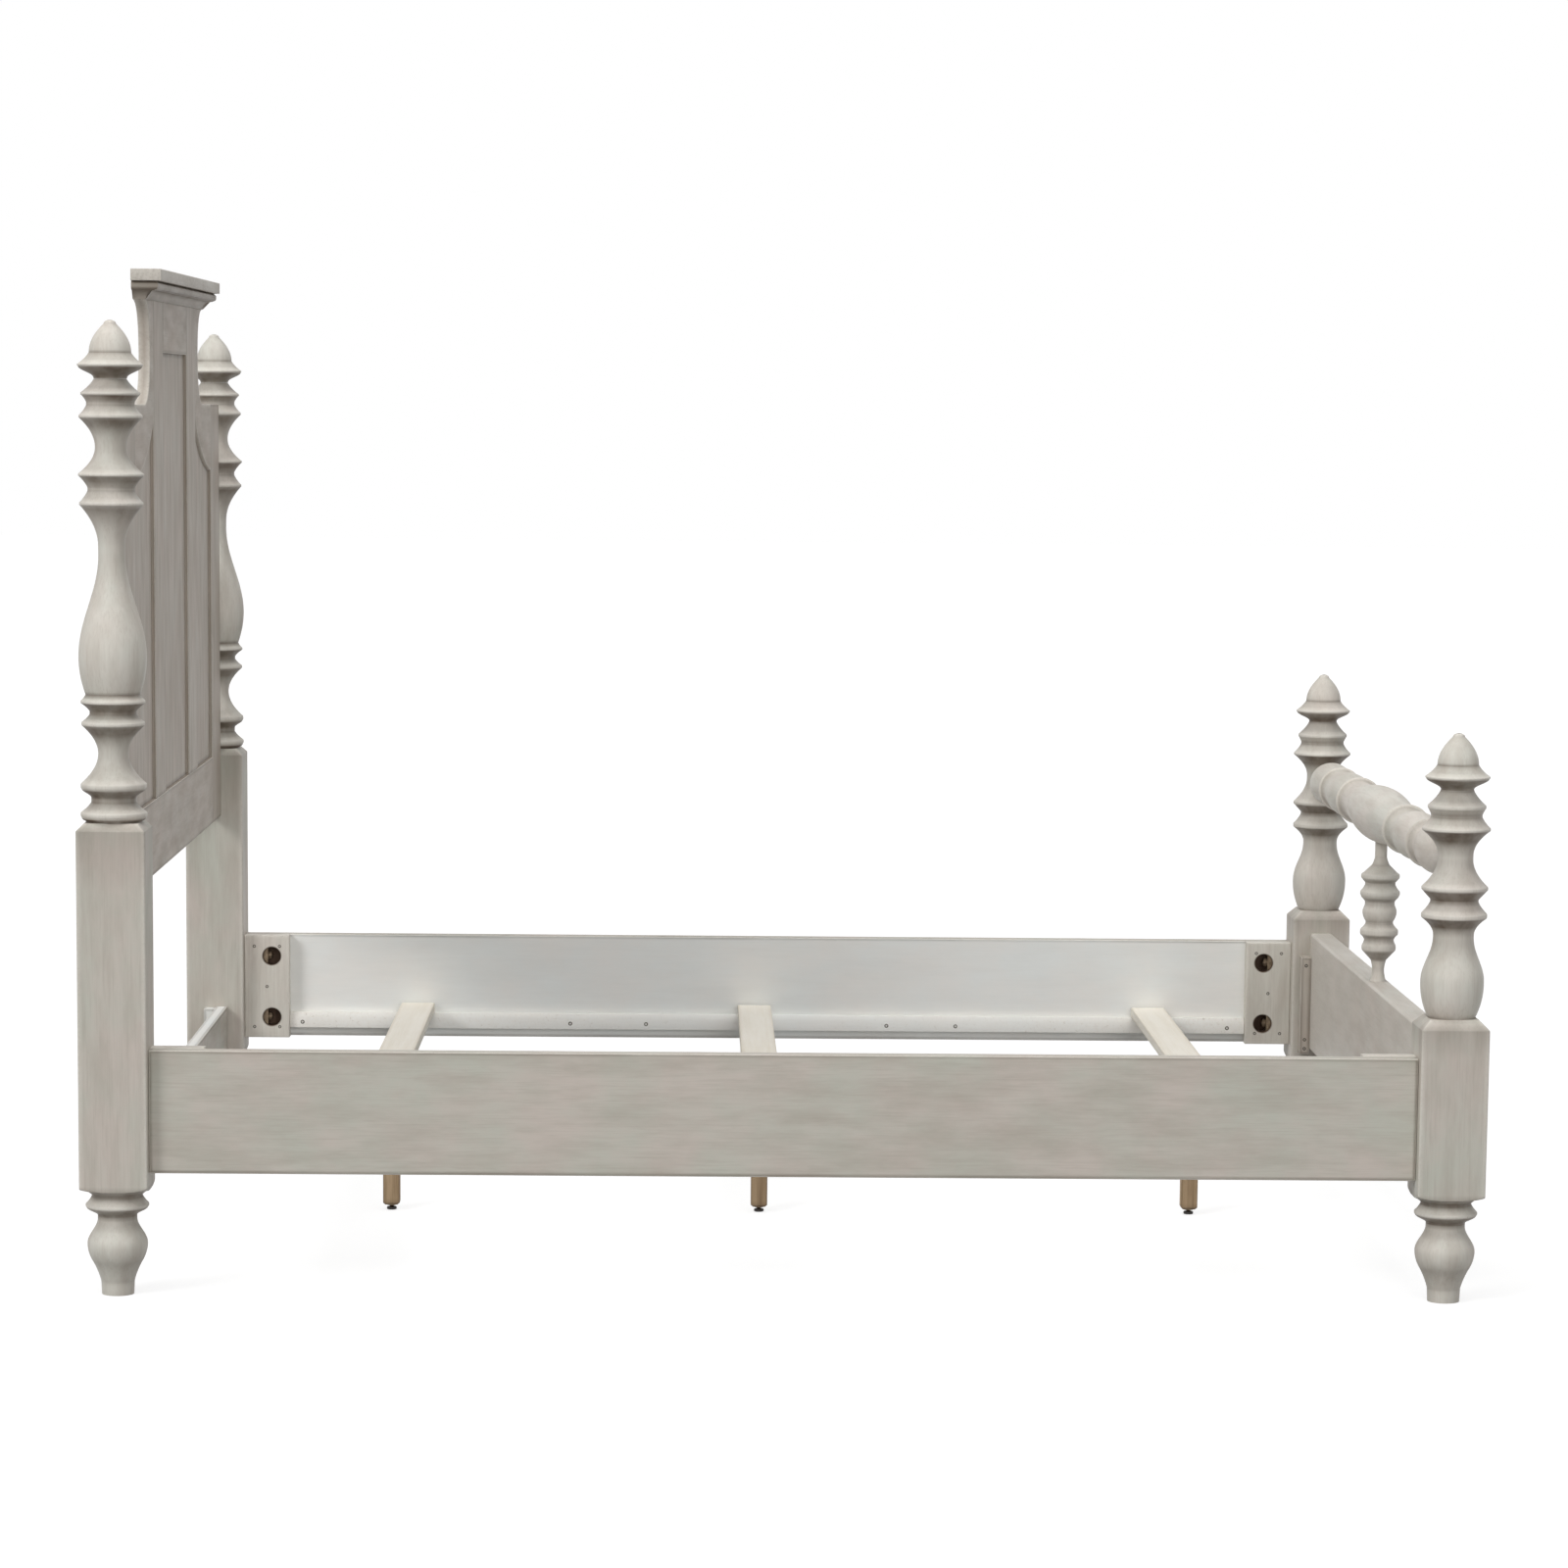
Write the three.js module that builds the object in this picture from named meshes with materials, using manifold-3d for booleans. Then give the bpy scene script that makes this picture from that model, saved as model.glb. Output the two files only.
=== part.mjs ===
import * as THREE from 'three';
import { mergeVertices } from 'three/addons/utils/BufferGeometryUtils.js';
import Module from 'manifold-3d';

// A queen-size poster bed, in millimetres.
// X runs across the bed, +Y points to the headboard and Z is up.
// The origin is on the floor under the middle of the bed.

const wasm = await Module();
wasm.setup();

// Plan of the bed
const railLength = 2083;
const postPitchAcross = 1609;
const blockSize = 112;

// Clearances, and how far a cutting or joining shape runs past the face that it cuts or joins
const seatGap = 0.25;
const boreGap = 0.3;
const overrun = 1;

// Corners closer than this are one corner
const weldTolerance = 0.0001;

// Turned work
const postSides = 16;
const spindleSides = 12;
const pocketSides = 16;
const glideSides = 12;
const rodSides = 8;
const dowelRadius = 9;
const dowelLength = 28;
const dowelRoot = 5;

// Square blocks of the posts, up to the top of their faces, and the chamfer above it
const headBlockHeight = 593;
const footBlockHeight = 283;
const headBlockChamfer = 12;
const footBlockChamfer = 16;
const blockShoulderRise = 12;

// Side rails, their ledgers and end blocks
const railLift = 29;
const railHeight = 204;
const railThickness = 26;
const railInset = 24;
const ledgerLift = 19;
const ledgerHeight = 30;
const ledgerThickness = 20;
const ledgerChamferDrop = 10;
const ledgerChamferDepth = 7;
const endBlockLength = 88;
const endBlockThickness = 32;
const pocketRadius = 18;
const pocketFromPost = 54;
const pocketSpacing = 122;

// Rail bolts, each with its half-moon washer and nut
const boltRadius = 5;
const boltDepthInPost = 50;
const boltPastPocketMiddle = 1;
const washerWidth = 22;
const washerFlatOffset = 8;
const nutSides = 6;
const nutAcrossFlats = 16;
const nutThickness = 7;

// Slats, their legs and levelling glides
const headSlatInset = 254;
const footSlatInset = 193;
const middleSlatShift = 28;
const slatWidth = 66;
const slatThickness = 19;
const slatEndGap = 4;
const legSize = 30;
const legChamfer = 4;
const legLift = 10;
const glidePadRadius = 9;
const glidePadThickness = 5;
const glidePadEdgeRound = 1.5;
const glidePadTopBevel = 1;
const glideStemRadius = 4;
const glideStemLength = 42;
const glideBoreSpare = 8;
const insertRadius = 6.5;
const insertLength = 13;
const insertFlangeRadius = 9;
const insertFlangeThickness = 1.5;

// Headboard
const boardLap = 120;
const boardThickness = 20;
const boardSetForward = 4;
const boardBottomRailHeight = 128;
const outerStileWidth = 151.25;
const sideBayWidth = 267;
const mullionWidth = 143;
const boardTopHeight = 1012;
const centreTopRailHeight = 117;
const shoulderDrop = 206;
const shoulderLength = 142;
const notchDepth = 80;
const notchRise = 84;
const flareOut = 73.25;
const flareTurn = 0.93;
const flareBelowMoulding = 1;
const archOuterDrop = 126;
const archRise = 110;
const archInnerPull = [4, 35];
const archOuterPull = [127, 10];
const archSegments = 8;
const notchSegments = 6;
const panelThickness = 8;
const panelTongue = 8;

// Crown over the headboard
const crownReach = 31;
const capThickness = 20;
const capEdgeChamfer = 1.5;
const crownGroove = 6;
const mouldingHeight = 30;
const mouldingFootReach = 2;
const mouldingCoveHeight = 15;
const mouldingCoveInset = 6;
const mouldingStep = 1;
const mouldingRoundHeight = 5;
const mouldingTopBevel = 4;
const mouldingSegments = 3;

// Lower head stretcher with its cleats
const stretcherTopHeight = 272;
const stretcherHeight = 90;
const stretcherThickness = 22;
const stretcherSetForward = 24.5;
const stretcherCleatLength = 26;
const stretcherCleatThickness = 22;
const stretcherCleatDrop = 2;

// Footboard
const footPanelThickness = 44;
const footPanelBelowBlockTop = 27;
const footPanelEdgeRound = 6;
const footPanelRoundSegments = 3;
const footCleatSize = 24;
const footCleatDepth = 20;
const footCleatBottomRise = 12;
const footCleatTopDrop = 45;
const barTenonRadius = 14;
const barTenonReach = 30;
const barEndRadius = 24;
const spindleTenonRadius = 7;
const spindleTenonReach = 18;

// Turned outlines, as steps of [rise, new radius, curve, segments] from a starting radius.
const footStartRadius = 26.5;
const turnedFoot = [
  [22, 27.5, 'line', 1],
  [36, 42.5, 'slope', 2],
  [27, 49.5, 'swell', 2],
  [42, 32.3, 'wave', 4],
  [5, 32.3, 'line', 1],
  [14, 52, 'wave', 3],
  [6, 52, 'line', 1],
  [13, 41.5, 'slope', 2],
  [10, 50, 'wave', 3],
  [2, 50, 'line', 1],
];

const headTurningStartRadius = 46;
const headTurning = [
  [2, 46, 'line', 1],
  [6, 54, 'bulge', 2],
  [8, 54, 'line', 1],
  [16, 36.5, 'slope', 2],
  [7, 36.5, 'line', 1],
  [15, 53.5, 'wave', 3],
  [9, 53.5, 'line', 1],
  [48, 24.8, 'sweep', 4],
  [45, 51.5, 'sweep', 4],
  [7, 51.5, 'line', 1],
  [12, 38, 'slope', 2],
  [5, 38, 'line', 1],
  [12, 52.3, 'slope', 2],
  [6, 52.3, 'line', 1],
  [9, 44.3, 'slope', 1],
  [61, 55.2, 'swell', 3],
  [165, 21.8, 'wave', 7],
  [15, 22, 'line', 1],
  [64, 51.7, 'sweep', 4],
  [6, 51.7, 'line', 1],
  [18, 38, 'slope', 2],
  [5, 38, 'line', 1],
  [18, 53, 'slope', 2],
  [5, 53, 'line', 1],
  [42, 25.5, 'sweep', 4],
  [46, 51.3, 'sweep', 4],
  [6, 51.3, 'line', 1],
  [15, 39, 'slope', 2],
  [5, 39, 'line', 1],
  [11, 48, 'slope', 1],
  [5, 48, 'line', 1],
  [21, 26.5, 'slope', 2],
];

// The foot post's turning is in two parts, so that the bar can be set at the neck between them.
const footTurningStartRadius = 39.5;
const footTurningToBar = [
  [54, 52, 'swell', 3],
  [6, 52, 'line', 1],
  [72, 33.3, 'wave', 5],
  [4, 33.3, 'line', 1],
  [28, 54, 'sweep', 4],
  [9, 54, 'line', 1],
  [18, 39.5, 'slope', 2],
  [4, 39.5, 'line', 1],
  [15, 54.5, 'line', 1],
  [7, 54.5, 'line', 1],
  [45, 29, 'sweep', 4],
];
const footTurningAboveBar = [
  [6, 29, 'line', 1],
  [40, 56, 'sweep', 4],
  [6, 56, 'line', 1],
  [17, 42, 'slope', 2],
  [4, 42, 'line', 1],
  [9, 47.8, 'line', 1],
  [7, 47.8, 'line', 1],
  [23, 27.5, 'slope', 2],
];

const finialOutline = [
  [2, 27, 'line', 1],
  [18, 53, 'wave', 4],
  [4, 53, 'line', 1],
  [18, 34, 'slope', 2],
  [46, 10, 'swell', 4],
  [6, 0, 'bulge', 2],
];

const barMiddleRadius = 50;
const barEndSetback = 24;
const barTurning = [
  [270, 36, 'wave', 6],
  [14, 44, 'cove', 2],
  [6, 44, 'line', 1],
  [18, 33, 'cove', 2],
  [100, 42, 'wave', 3],
  [112, 35, 'wave', 3],
  [13, 42.5, 'cove', 2],
  [6, 42.5, 'line', 1],
  [15, 32, 'cove', 2],
  [96, 42, 'wave', 3],
];
const barEndSegments = 4;

const spindleFootRadius = 15;
const spindleOutline = [
  [23, 10.8, 'sweep', 2],
  [16, 14, 'slope', 1],
  [17, 31, 'line', 1],
  [12, 31, 'line', 1],
  [7, 27, 'slope', 1],
  [10, 34.5, 'sweep', 2],
  [11, 34.5, 'line', 1],
  [10, 25, 'slope', 2],
  [4, 25, 'line', 1],
  [18, 31, 'swell', 2],
  [14, 27, 'wave', 3],
  [3, 27, 'line', 1],
  [12, 36, 'wave', 3],
  [9, 36, 'line', 1],
  [11, 27.5, 'slope', 2],
  [4, 27.5, 'line', 1],
  [7, 35, 'line', 1],
  [9, 34, 'line', 1],
  [16, 16, 'line', 1],
  [14, 11, 'slope', 1],
];

// Heights and places that follow from the sizes above
const blockBottom = totalRise(turnedFoot);
const headBlockTop = blockBottom + headBlockHeight;
const footBlockTop = blockBottom + footBlockHeight;
const headTurningBottom = headBlockTop + headBlockChamfer;
const footTurningBottom = footBlockTop + footBlockChamfer;
const railBottom = blockBottom + railLift;
const railTop = railBottom + railHeight;
const postX = postPitchAcross / 2;
const postY = (railLength + blockSize) / 2;
const blockHalf = blockSize / 2;
const innerFaceX = postX - blockHalf;
const innerFaceY = postY - blockHalf;
const railOuterX = postX + blockHalf - railInset;
const railInnerX = railOuterX - railThickness;
const endBlockOuterX = railInnerX - seatGap;
const endBlockInnerX = endBlockOuterX - endBlockThickness;
const boltX = (endBlockOuterX + endBlockInnerX) / 2;
const pocketY = innerFaceY - pocketFromPost;
const pocketHeights = [-1, 1].map((side) => railBottom + railHeight / 2 + side * pocketSpacing / 2);
const ledgerBottom = railBottom + ledgerLift;
const ledgerTop = ledgerBottom + ledgerHeight;
const ledgerEndY = innerFaceY - seatGap - endBlockLength - seatGap;
const slatPlaces = {
  head: ledgerEndY - headSlatInset,
  middle: middleSlatShift,
  foot: -ledgerEndY + footSlatInset,
};
const slatBottom = ledgerTop + seatGap;
const slatTop = slatBottom + slatThickness;
const barHeight = footTurningBottom + totalRise(footTurningToBar);
const barTenonEnd = postX - footTurningToBar.at(-1)[1] + barTenonReach / 2;
const footPanelTop = footBlockTop - footPanelBelowBlockTop;
const boardBottom = headBlockTop - boardLap;
const boardMiddleY = postY - boardSetForward;
const boardFrontY = boardMiddleY - boardThickness / 2;
const boardBackY = boardMiddleY + boardThickness / 2;
const boardTop = boardBottom + boardTopHeight;
const shoulderHeight = boardTop - shoulderDrop;
const bayBottom = boardBottom + boardBottomRailHeight;
const centreBayTop = boardTop - centreTopRailHeight;
const archOuterHeight = shoulderHeight - archOuterDrop;
const archInnerHeight = archOuterHeight + archRise;
const stileOuterX = innerFaceX - seatGap;
const stileInnerX = stileOuterX - outerStileWidth;
const mullionOuterX = stileInnerX - sideBayWidth;
const mullionInnerX = mullionOuterX - mullionWidth;
const notchOuterX = stileInnerX - seatGap - shoulderLength;
const neckX = notchOuterX - notchDepth;
const hornX = neckX + flareOut;
const crownHalfWidth = hornX + crownReach;

// The bar's turning ends in a taper that runs out to the posts, whatever their distance.
const barEndTaper = postX - barEndSetback - totalRise(barTurning);
const barHalfOutline = [...barTurning, [barEndTaper, barEndRadius, 'wave', barEndSegments]];

const paint = { color: 0xc3bdb0, roughness: 0.55, metalness: 0 };
const panelPaint = { color: 0xb9b1a5, roughness: 0.6, metalness: 0 };
const bareWood = { color: 0xdccfb4, roughness: 0.75, metalness: 0 };
const darkWood = { color: 0x8f7d61, roughness: 0.75, metalness: 0 };
const steel = { color: 0x6f6a62, roughness: 0.4, metalness: 0.85 };
const nylon = { color: 0x2b2724, roughness: 0.5, metalness: 0 };

const sides = [['left', -1], ['right', 1]];
const ends = [['head', 1], ['foot', -1]];

const bed = new THREE.Group();

function totalRise(outline) {
  return outline.reduce((sum, step) => sum + step[0], 0);
}

// How deep the gentle curves are: a slope and a sweep are hollow, and a swell is full.
const sags = { line: 0, slope: 0.4, sweep: 1, swell: -1 };

// Shares of the rise and of the change of radius at a point of a quarter arc, a cosine wave or a gentle curve.
function curveShares(curve, growing, share) {
  const angle = share * Math.PI / 2;
  const early = [1 - Math.cos(angle), Math.sin(angle)];
  const late = [Math.sin(angle), 1 - Math.cos(angle)];
  if (curve === 'cove') return growing ? late : early;
  if (curve === 'bulge') return growing ? early : late;
  if (curve === 'wave') return [share, (1 - Math.cos(Math.PI * share)) / 2];
  const sag = sags[curve] * share * (1 - share);
  return [share, growing ? share - sag : share + sag];
}

// Points of radius and height along a turned outline.
function outlinePoints(startRadius, outline, startHeight, grow = 0) {
  const points = [new THREE.Vector2(startRadius + grow, startHeight)];
  let height = startHeight;
  let radius = startRadius;
  for (const [rise, newRadius, curve, segments] of outline) {
    for (let step = 1; step <= segments; step += 1) {
      const [riseShare, radiusShare] = curveShares(curve, newRadius > radius, step / segments);
      const pointRadius = radius + (newRadius - radius) * radiusShare;
      const onAxis = pointRadius < weldTolerance;
      points.push(new THREE.Vector2(onAxis ? 0 : pointRadius + grow, height + rise * riseShare));
    }
    height += rise;
    radius = newRadius;
  }
  return points;
}

// A closed solid from a geometry whose shared corners are merged.
function solidOf(geometry) {
  geometry.deleteAttribute('normal');
  geometry.deleteAttribute('uv');
  const merged = mergeVertices(geometry, weldTolerance);
  const corners = merged.index.array;
  const triangles = [];
  for (let i = 0; i < corners.length; i += 3) {
    const [a, b, c] = [corners[i], corners[i + 1], corners[i + 2]];
    if (a !== b && b !== c && c !== a) triangles.push(a, b, c);
  }
  const vertProperties = Float32Array.from(merged.attributes.position.array);
  const triVerts = Uint32Array.from(triangles);
  return new wasm.Manifold(new wasm.Mesh({ numProp: 3, vertProperties, triVerts }));
}

function turned(points, turnedSides) {
  const closed = [...points];
  if (closed[0].x > 0) closed.unshift(new THREE.Vector2(0, closed[0].y));
  if (closed.at(-1).x > 0) closed.push(new THREE.Vector2(0, closed.at(-1).y));
  const geometry = new THREE.LatheGeometry(closed, turnedSides);
  geometry.rotateX(Math.PI / 2);
  return solidOf(geometry);
}

function box([lowX, lowY, lowZ], [highX, highY, highZ]) {
  const geometry = new THREE.BoxGeometry(highX - lowX, highY - lowY, highZ - lowZ);
  geometry.translate((lowX + highX) / 2, (lowY + highY) / 2, (lowZ + highZ) / 2);
  return solidOf(geometry);
}

// A box given for the right side, or its mirror image on the left.
function sideBox(side, low, high) {
  const [lowX, highX] = side > 0 ? [low[0], high[0]] : [-high[0], -low[0]];
  return box([lowX, low[1], low[2]], [highX, high[1], high[2]]);
}

function rod(axis, radius, from, to, [x, y, z], roundSides = rodSides) {
  const geometry = new THREE.CylinderGeometry(radius, radius, Math.abs(to - from), roundSides);
  if (axis === 'x') geometry.rotateZ(Math.PI / 2);
  if (axis === 'z') geometry.rotateX(Math.PI / 2);
  const middle = (from + to) / 2;
  geometry.translate(axis === 'x' ? middle : x, axis === 'y' ? middle : y, axis === 'z' ? middle : z);
  return solidOf(geometry);
}

// A prism whose outline is drawn as X and Z and which runs along Y.
function prismAlongY(shape, fromY, toY) {
  const geometry = new THREE.ExtrudeGeometry(shape, { depth: toY - fromY, bevelEnabled: false });
  geometry.rotateX(Math.PI / 2);
  geometry.translate(0, toY, 0);
  return solidOf(geometry);
}

// A prism whose outline is drawn as Y and Z and which runs along X.
function prismAlongX(shape, fromX, toX, curveSegments = 1) {
  const geometry = new THREE.ExtrudeGeometry(shape, { depth: toX - fromX, bevelEnabled: false, curveSegments });
  geometry.rotateY(Math.PI / 2);
  geometry.rotateX(Math.PI / 2);
  geometry.translate(fromX, 0, 0);
  return solidOf(geometry);
}

// A prism whose outline is drawn in plan and which runs upwards.
function prismUpwards(shape, fromZ, toZ) {
  const geometry = new THREE.ExtrudeGeometry(shape, { depth: toZ - fromZ, bevelEnabled: false });
  geometry.translate(0, 0, fromZ);
  return solidOf(geometry);
}

function polygon(points) {
  return new THREE.Shape(points.map(([x, y]) => new THREE.Vector2(x, y)));
}

function addPiece(name, solid, finish, place = [0, 0, 0]) {
  const result = solid.getMesh();
  const geometry = new THREE.BufferGeometry();
  geometry.setAttribute('position', new THREE.BufferAttribute(result.vertProperties, 3));
  geometry.setIndex(new THREE.BufferAttribute(result.triVerts, 1));
  geometry.computeVertexNormals();
  const mesh = new THREE.Mesh(geometry, new THREE.MeshStandardMaterial(finish));
  mesh.name = name;
  mesh.position.set(...place);
  bed.add(mesh);
}

// Posts

// The square block, its corners turned off round at the bottom and its four faces chamfered above.
function postBlock(facesTop, chamfer) {
  const top = facesTop + chamfer;
  const topHalf = blockHalf - chamfer;
  const side = polygon([
    [-blockHalf, blockBottom], [blockHalf, blockBottom], [blockHalf, facesTop],
    [topHalf, top], [-topHalf, top], [-blockHalf, facesTop],
  ]);
  const acrossY = prismAlongY(side, -blockHalf, blockHalf);
  const acrossX = prismAlongX(side, -blockHalf, blockHalf);
  const cornerRadius = blockHalf * Math.SQRT2 + overrun;
  const envelope = outlinePoints(blockHalf, [
    [blockShoulderRise, cornerRadius, 'bulge', 3],
    [top - blockBottom - blockShoulderRise, cornerRadius, 'line', 1],
  ], blockBottom);
  return acrossY.intersect(acrossX).intersect(turned(envelope, postSides));
}

// The rail's bolts screw into the post's inner face, and the finial's dowel goes into its top.
function postBores(side, end, topHeight) {
  const mouth = -end * (blockHalf + overrun);
  const bottom = -end * (blockHalf - boltDepthInPost - overrun);
  const boltAcross = side * (boltX - postX);
  const boltBore = boltRadius + boreGap;
  const bores = pocketHeights.map((height) => rod('y', boltBore, mouth, bottom, [boltAcross, 0, height]));
  const dowelBottom = topHeight - dowelLength - overrun;
  bores.push(rod('z', dowelRadius + boreGap, dowelBottom, topHeight + overrun, [0, 0, 0]));
  return bores;
}

function addPost(endName, end, sideName, side) {
  const isHead = end > 0;
  const block = isHead ? postBlock(headBlockTop, headBlockChamfer) : postBlock(footBlockTop, footBlockChamfer);
  const upper = isHead ? headTurning : [...footTurningToBar, ...footTurningAboveBar];
  const upperBottom = isHead ? headTurningBottom : footTurningBottom;
  const upperStartRadius = isHead ? headTurningStartRadius : footTurningStartRadius;
  const topHeight = upperBottom + totalRise(upper);
  let post = block.add(turned(outlinePoints(footStartRadius, turnedFoot, 0), postSides));
  post = post.add(turned(outlinePoints(upperStartRadius, upper, upperBottom), postSides));
  for (const bore of postBores(side, end, topHeight)) post = post.subtract(bore);
  if (!isHead) {
    const boreBottom = -side * (postX - barTenonEnd - seatGap);
    post = post.subtract(rod('x', barTenonRadius + boreGap, boreBottom, -side * blockHalf, [0, 0, barHeight]));
  }
  addPiece(`${endName}_post_${sideName}`, post, paint, [side * postX, end * postY, 0]);
  addFinial(endName, end, sideName, side, topHeight, upper.at(-1)[1]);
}

function addFinial(endName, end, sideName, side, seatHeight, seatRadius) {
  const body = turned(outlinePoints(seatRadius, finialOutline, seatHeight + seatGap), postSides);
  const dowel = rod('z', dowelRadius, seatHeight - dowelLength, seatHeight + dowelRoot, [0, 0, 0]);
  addPiece(`${endName}_finial_${sideName}`, body.add(dowel), paint, [side * postX, end * postY, 0]);
}

for (const [endName, end] of ends) {
  for (const [sideName, side] of sides) addPost(endName, end, sideName, side);
}

// Side rails

function addRail(sideName, side) {
  const end = innerFaceY - seatGap;
  const rail = sideBox(side, [railInnerX, -end, railBottom], [railOuterX, end, railTop]);
  addPiece(`side_rail_${sideName}`, rail, paint);

  const ledgerFront = railInnerX - seatGap - ledgerThickness;
  const section = polygon([
    [0, ledgerBottom],
    [ledgerThickness, ledgerBottom],
    [ledgerThickness, ledgerTop],
    [ledgerChamferDepth, ledgerTop],
    [0, ledgerTop - ledgerChamferDrop],
  ].map(([depth, height]) => [side * (ledgerFront + depth), height]));
  addPiece(`ledger_${sideName}`, prismAlongY(section, -ledgerEndY, ledgerEndY), paint);
}

// The block that thickens a rail's end, with two round pockets from which the bolts' nuts are tightened.
function addEndBlock(endName, end, sideName, side) {
  const nearY = innerFaceY - seatGap;
  const farY = nearY - endBlockLength;
  const [lowY, highY] = end > 0 ? [farY, nearY] : [-nearY, -farY];
  let block = sideBox(side, [endBlockInnerX, lowY, railBottom], [endBlockOuterX, highY, railTop]);
  for (const height of pocketHeights) {
    const pocketFrom = side * (endBlockInnerX - overrun);
    const pocketTo = side * (endBlockOuterX + overrun);
    const boreMouth = end * (nearY + overrun);
    const middle = [side * boltX, end * pocketY, height];
    block = block.subtract(rod('x', pocketRadius, pocketFrom, pocketTo, middle, pocketSides));
    block = block.subtract(rod('y', boltRadius + boreGap, end * pocketY, boreMouth, middle));
  }
  addPiece(`rail_end_block_${endName}_${sideName}`, block, paint);
  const places = ['lower', 'upper'];
  pocketHeights.forEach((height, i) => addRailBolt(`${endName}_${sideName}_${places[i]}`, end, side, height));
}

// A bolt screwed into the post, with the half-moon washer that bears on the pocket's wall and its nut.
function addRailBolt(place, end, side, height) {
  const centre = [side * boltX, end * pocketY, height];
  const tipY = end * (innerFaceY + boltDepthInPost);
  const shank = rod('y', boltRadius, end * (pocketY - boltPastPocketMiddle), tipY, centre);
  const washerFrom = side * boltX - washerWidth / 2;
  const washerRadius = pocketRadius - seatGap;
  const round = rod('x', washerRadius, washerFrom, washerFrom + washerWidth, centre, pocketSides);
  const flat = end * (pocketY + washerFlatOffset);
  const beyond = end * (pocketY + pocketRadius);
  const half = box(
    [side * boltX - washerWidth, Math.min(flat, beyond), height - pocketRadius],
    [side * boltX + washerWidth, Math.max(flat, beyond), height + pocketRadius],
  );
  const nutRadius = nutAcrossFlats / 2 / Math.cos(Math.PI / nutSides);
  const nut = rod('y', nutRadius, flat - end * nutThickness, flat + end * overrun, centre, nutSides);
  const bolt = round.intersect(half).add(nut).add(shank);
  addPiece(`rail_bolt_${place}`, bolt, steel);
}

for (const [sideName, side] of sides) {
  addRail(sideName, side);
  for (const [endName, end] of ends) addEndBlock(endName, end, sideName, side);
}

// Slats, with a leg in the middle of each and a levelling glide in each leg

function addSlat(placeName, y) {
  const reach = railInnerX - slatEndGap;
  const slat = box([-reach, y - slatWidth / 2, slatBottom], [reach, y + slatWidth / 2, slatTop]);
  addPiece(`slat_${placeName}`, slat, bareWood);

  const legTop = slatBottom - seatGap;
  const half = legSize / 2;
  const side = polygon([
    [-half + legChamfer, legLift], [half - legChamfer, legLift], [half, legLift + legChamfer],
    [half, legTop], [-half, legTop], [-half, legLift + legChamfer],
  ]);
  const acrossY = prismAlongY(side, -half, half);
  const acrossX = prismAlongX(side, -half, half);
  const boreTop = glidePadThickness + glideStemLength + glideBoreSpare;
  const flangeTop = legLift - seatGap;
  const flangeBottom = flangeTop - insertFlangeThickness;
  const bore = rod('z', glideStemRadius + boreGap, flangeBottom - overrun, boreTop, [0, 0, 0]);
  const insertTop = legLift + insertLength;
  const insertSeat = rod('z', insertRadius + seatGap, legLift - overrun, insertTop + seatGap, [0, 0, 0]);
  const leg = acrossY.intersect(acrossX).subtract(bore).subtract(insertSeat);
  addPiece(`slat_leg_${placeName}`, leg, darkWood, [0, y, 0]);

  const flange = rod('z', insertFlangeRadius, flangeBottom, flangeTop, [0, 0, 0], glideSides);
  const barrel = rod('z', insertRadius, (flangeBottom + flangeTop) / 2, insertTop, [0, 0, 0]);
  addPiece(`leg_insert_${placeName}`, flange.add(barrel).subtract(bore), steel, [0, y, 0]);

  const pad = turned(outlinePoints(glidePadRadius - glidePadEdgeRound, [
    [glidePadEdgeRound, glidePadRadius, 'bulge', 1],
    [glidePadThickness - glidePadEdgeRound - glidePadTopBevel, glidePadRadius, 'line', 1],
    [glidePadTopBevel, glidePadRadius - glidePadTopBevel, 'line', 1],
  ], 0), glideSides);
  const stem = rod('z', glideStemRadius, glidePadThickness / 2, glidePadThickness + glideStemLength, [0, 0, 0]);
  addPiece(`leg_glide_${placeName}`, pad.add(stem), nylon, [0, y, 0]);
}

for (const [placeName, y] of Object.entries(slatPlaces)) addSlat(placeName, y);

// Headboard: stiles, rails and mullions, grooved for the panels between them

// The underside of the arch over a side bay, from the mullion to the outer stile, on the right side.
function archPoints(reach) {
  const inner = new THREE.Vector2(mullionOuterX + reach, archInnerHeight + reach);
  const outer = new THREE.Vector2(stileInnerX + reach, archOuterHeight + reach);
  const innerPull = new THREE.Vector2(archInnerPull[0], -archInnerPull[1]).add(inner);
  const outerPull = new THREE.Vector2(-archOuterPull[0], archOuterPull[1]).add(outer);
  const curve = new THREE.CubicBezierCurve(inner, innerPull, outerPull, outer);
  return curve.getPoints(archSegments).map((point) => [point.x, point.y]);
}

// The side bay's outline, let out by a reach on every edge.
function sideBay(reach, side) {
  const points = [
    [mullionOuterX - reach, bayBottom - reach],
    [stileInnerX + reach, bayBottom - reach],
    ...archPoints(reach).reverse(),
    [mullionOuterX - reach, archInnerHeight + reach],
  ];
  return polygon(points.map(([x, z]) => [side * x, z]));
}

function centreBay(reach) {
  const top = centreBayTop + reach;
  return polygon([
    [-mullionInnerX - reach, bayBottom - reach],
    [mullionInnerX + reach, bayBottom - reach],
    [mullionInnerX + reach, top],
    [-mullionInnerX - reach, top],
  ]);
}

function panelSlab(bay, extra) {
  const half = panelThickness / 2 + extra;
  return prismAlongY(bay, boardMiddleY - half, boardMiddleY + half);
}

const grooves = [
  panelSlab(sideBay(panelTongue, -1), seatGap),
  panelSlab(centreBay(panelTongue), seatGap),
  panelSlab(sideBay(panelTongue, 1), seatGap),
];

function addBoardPiece(name, solid) {
  let piece = solid;
  for (const groove of grooves) piece = piece.subtract(groove);
  addPiece(name, piece, paint);
}

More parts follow.
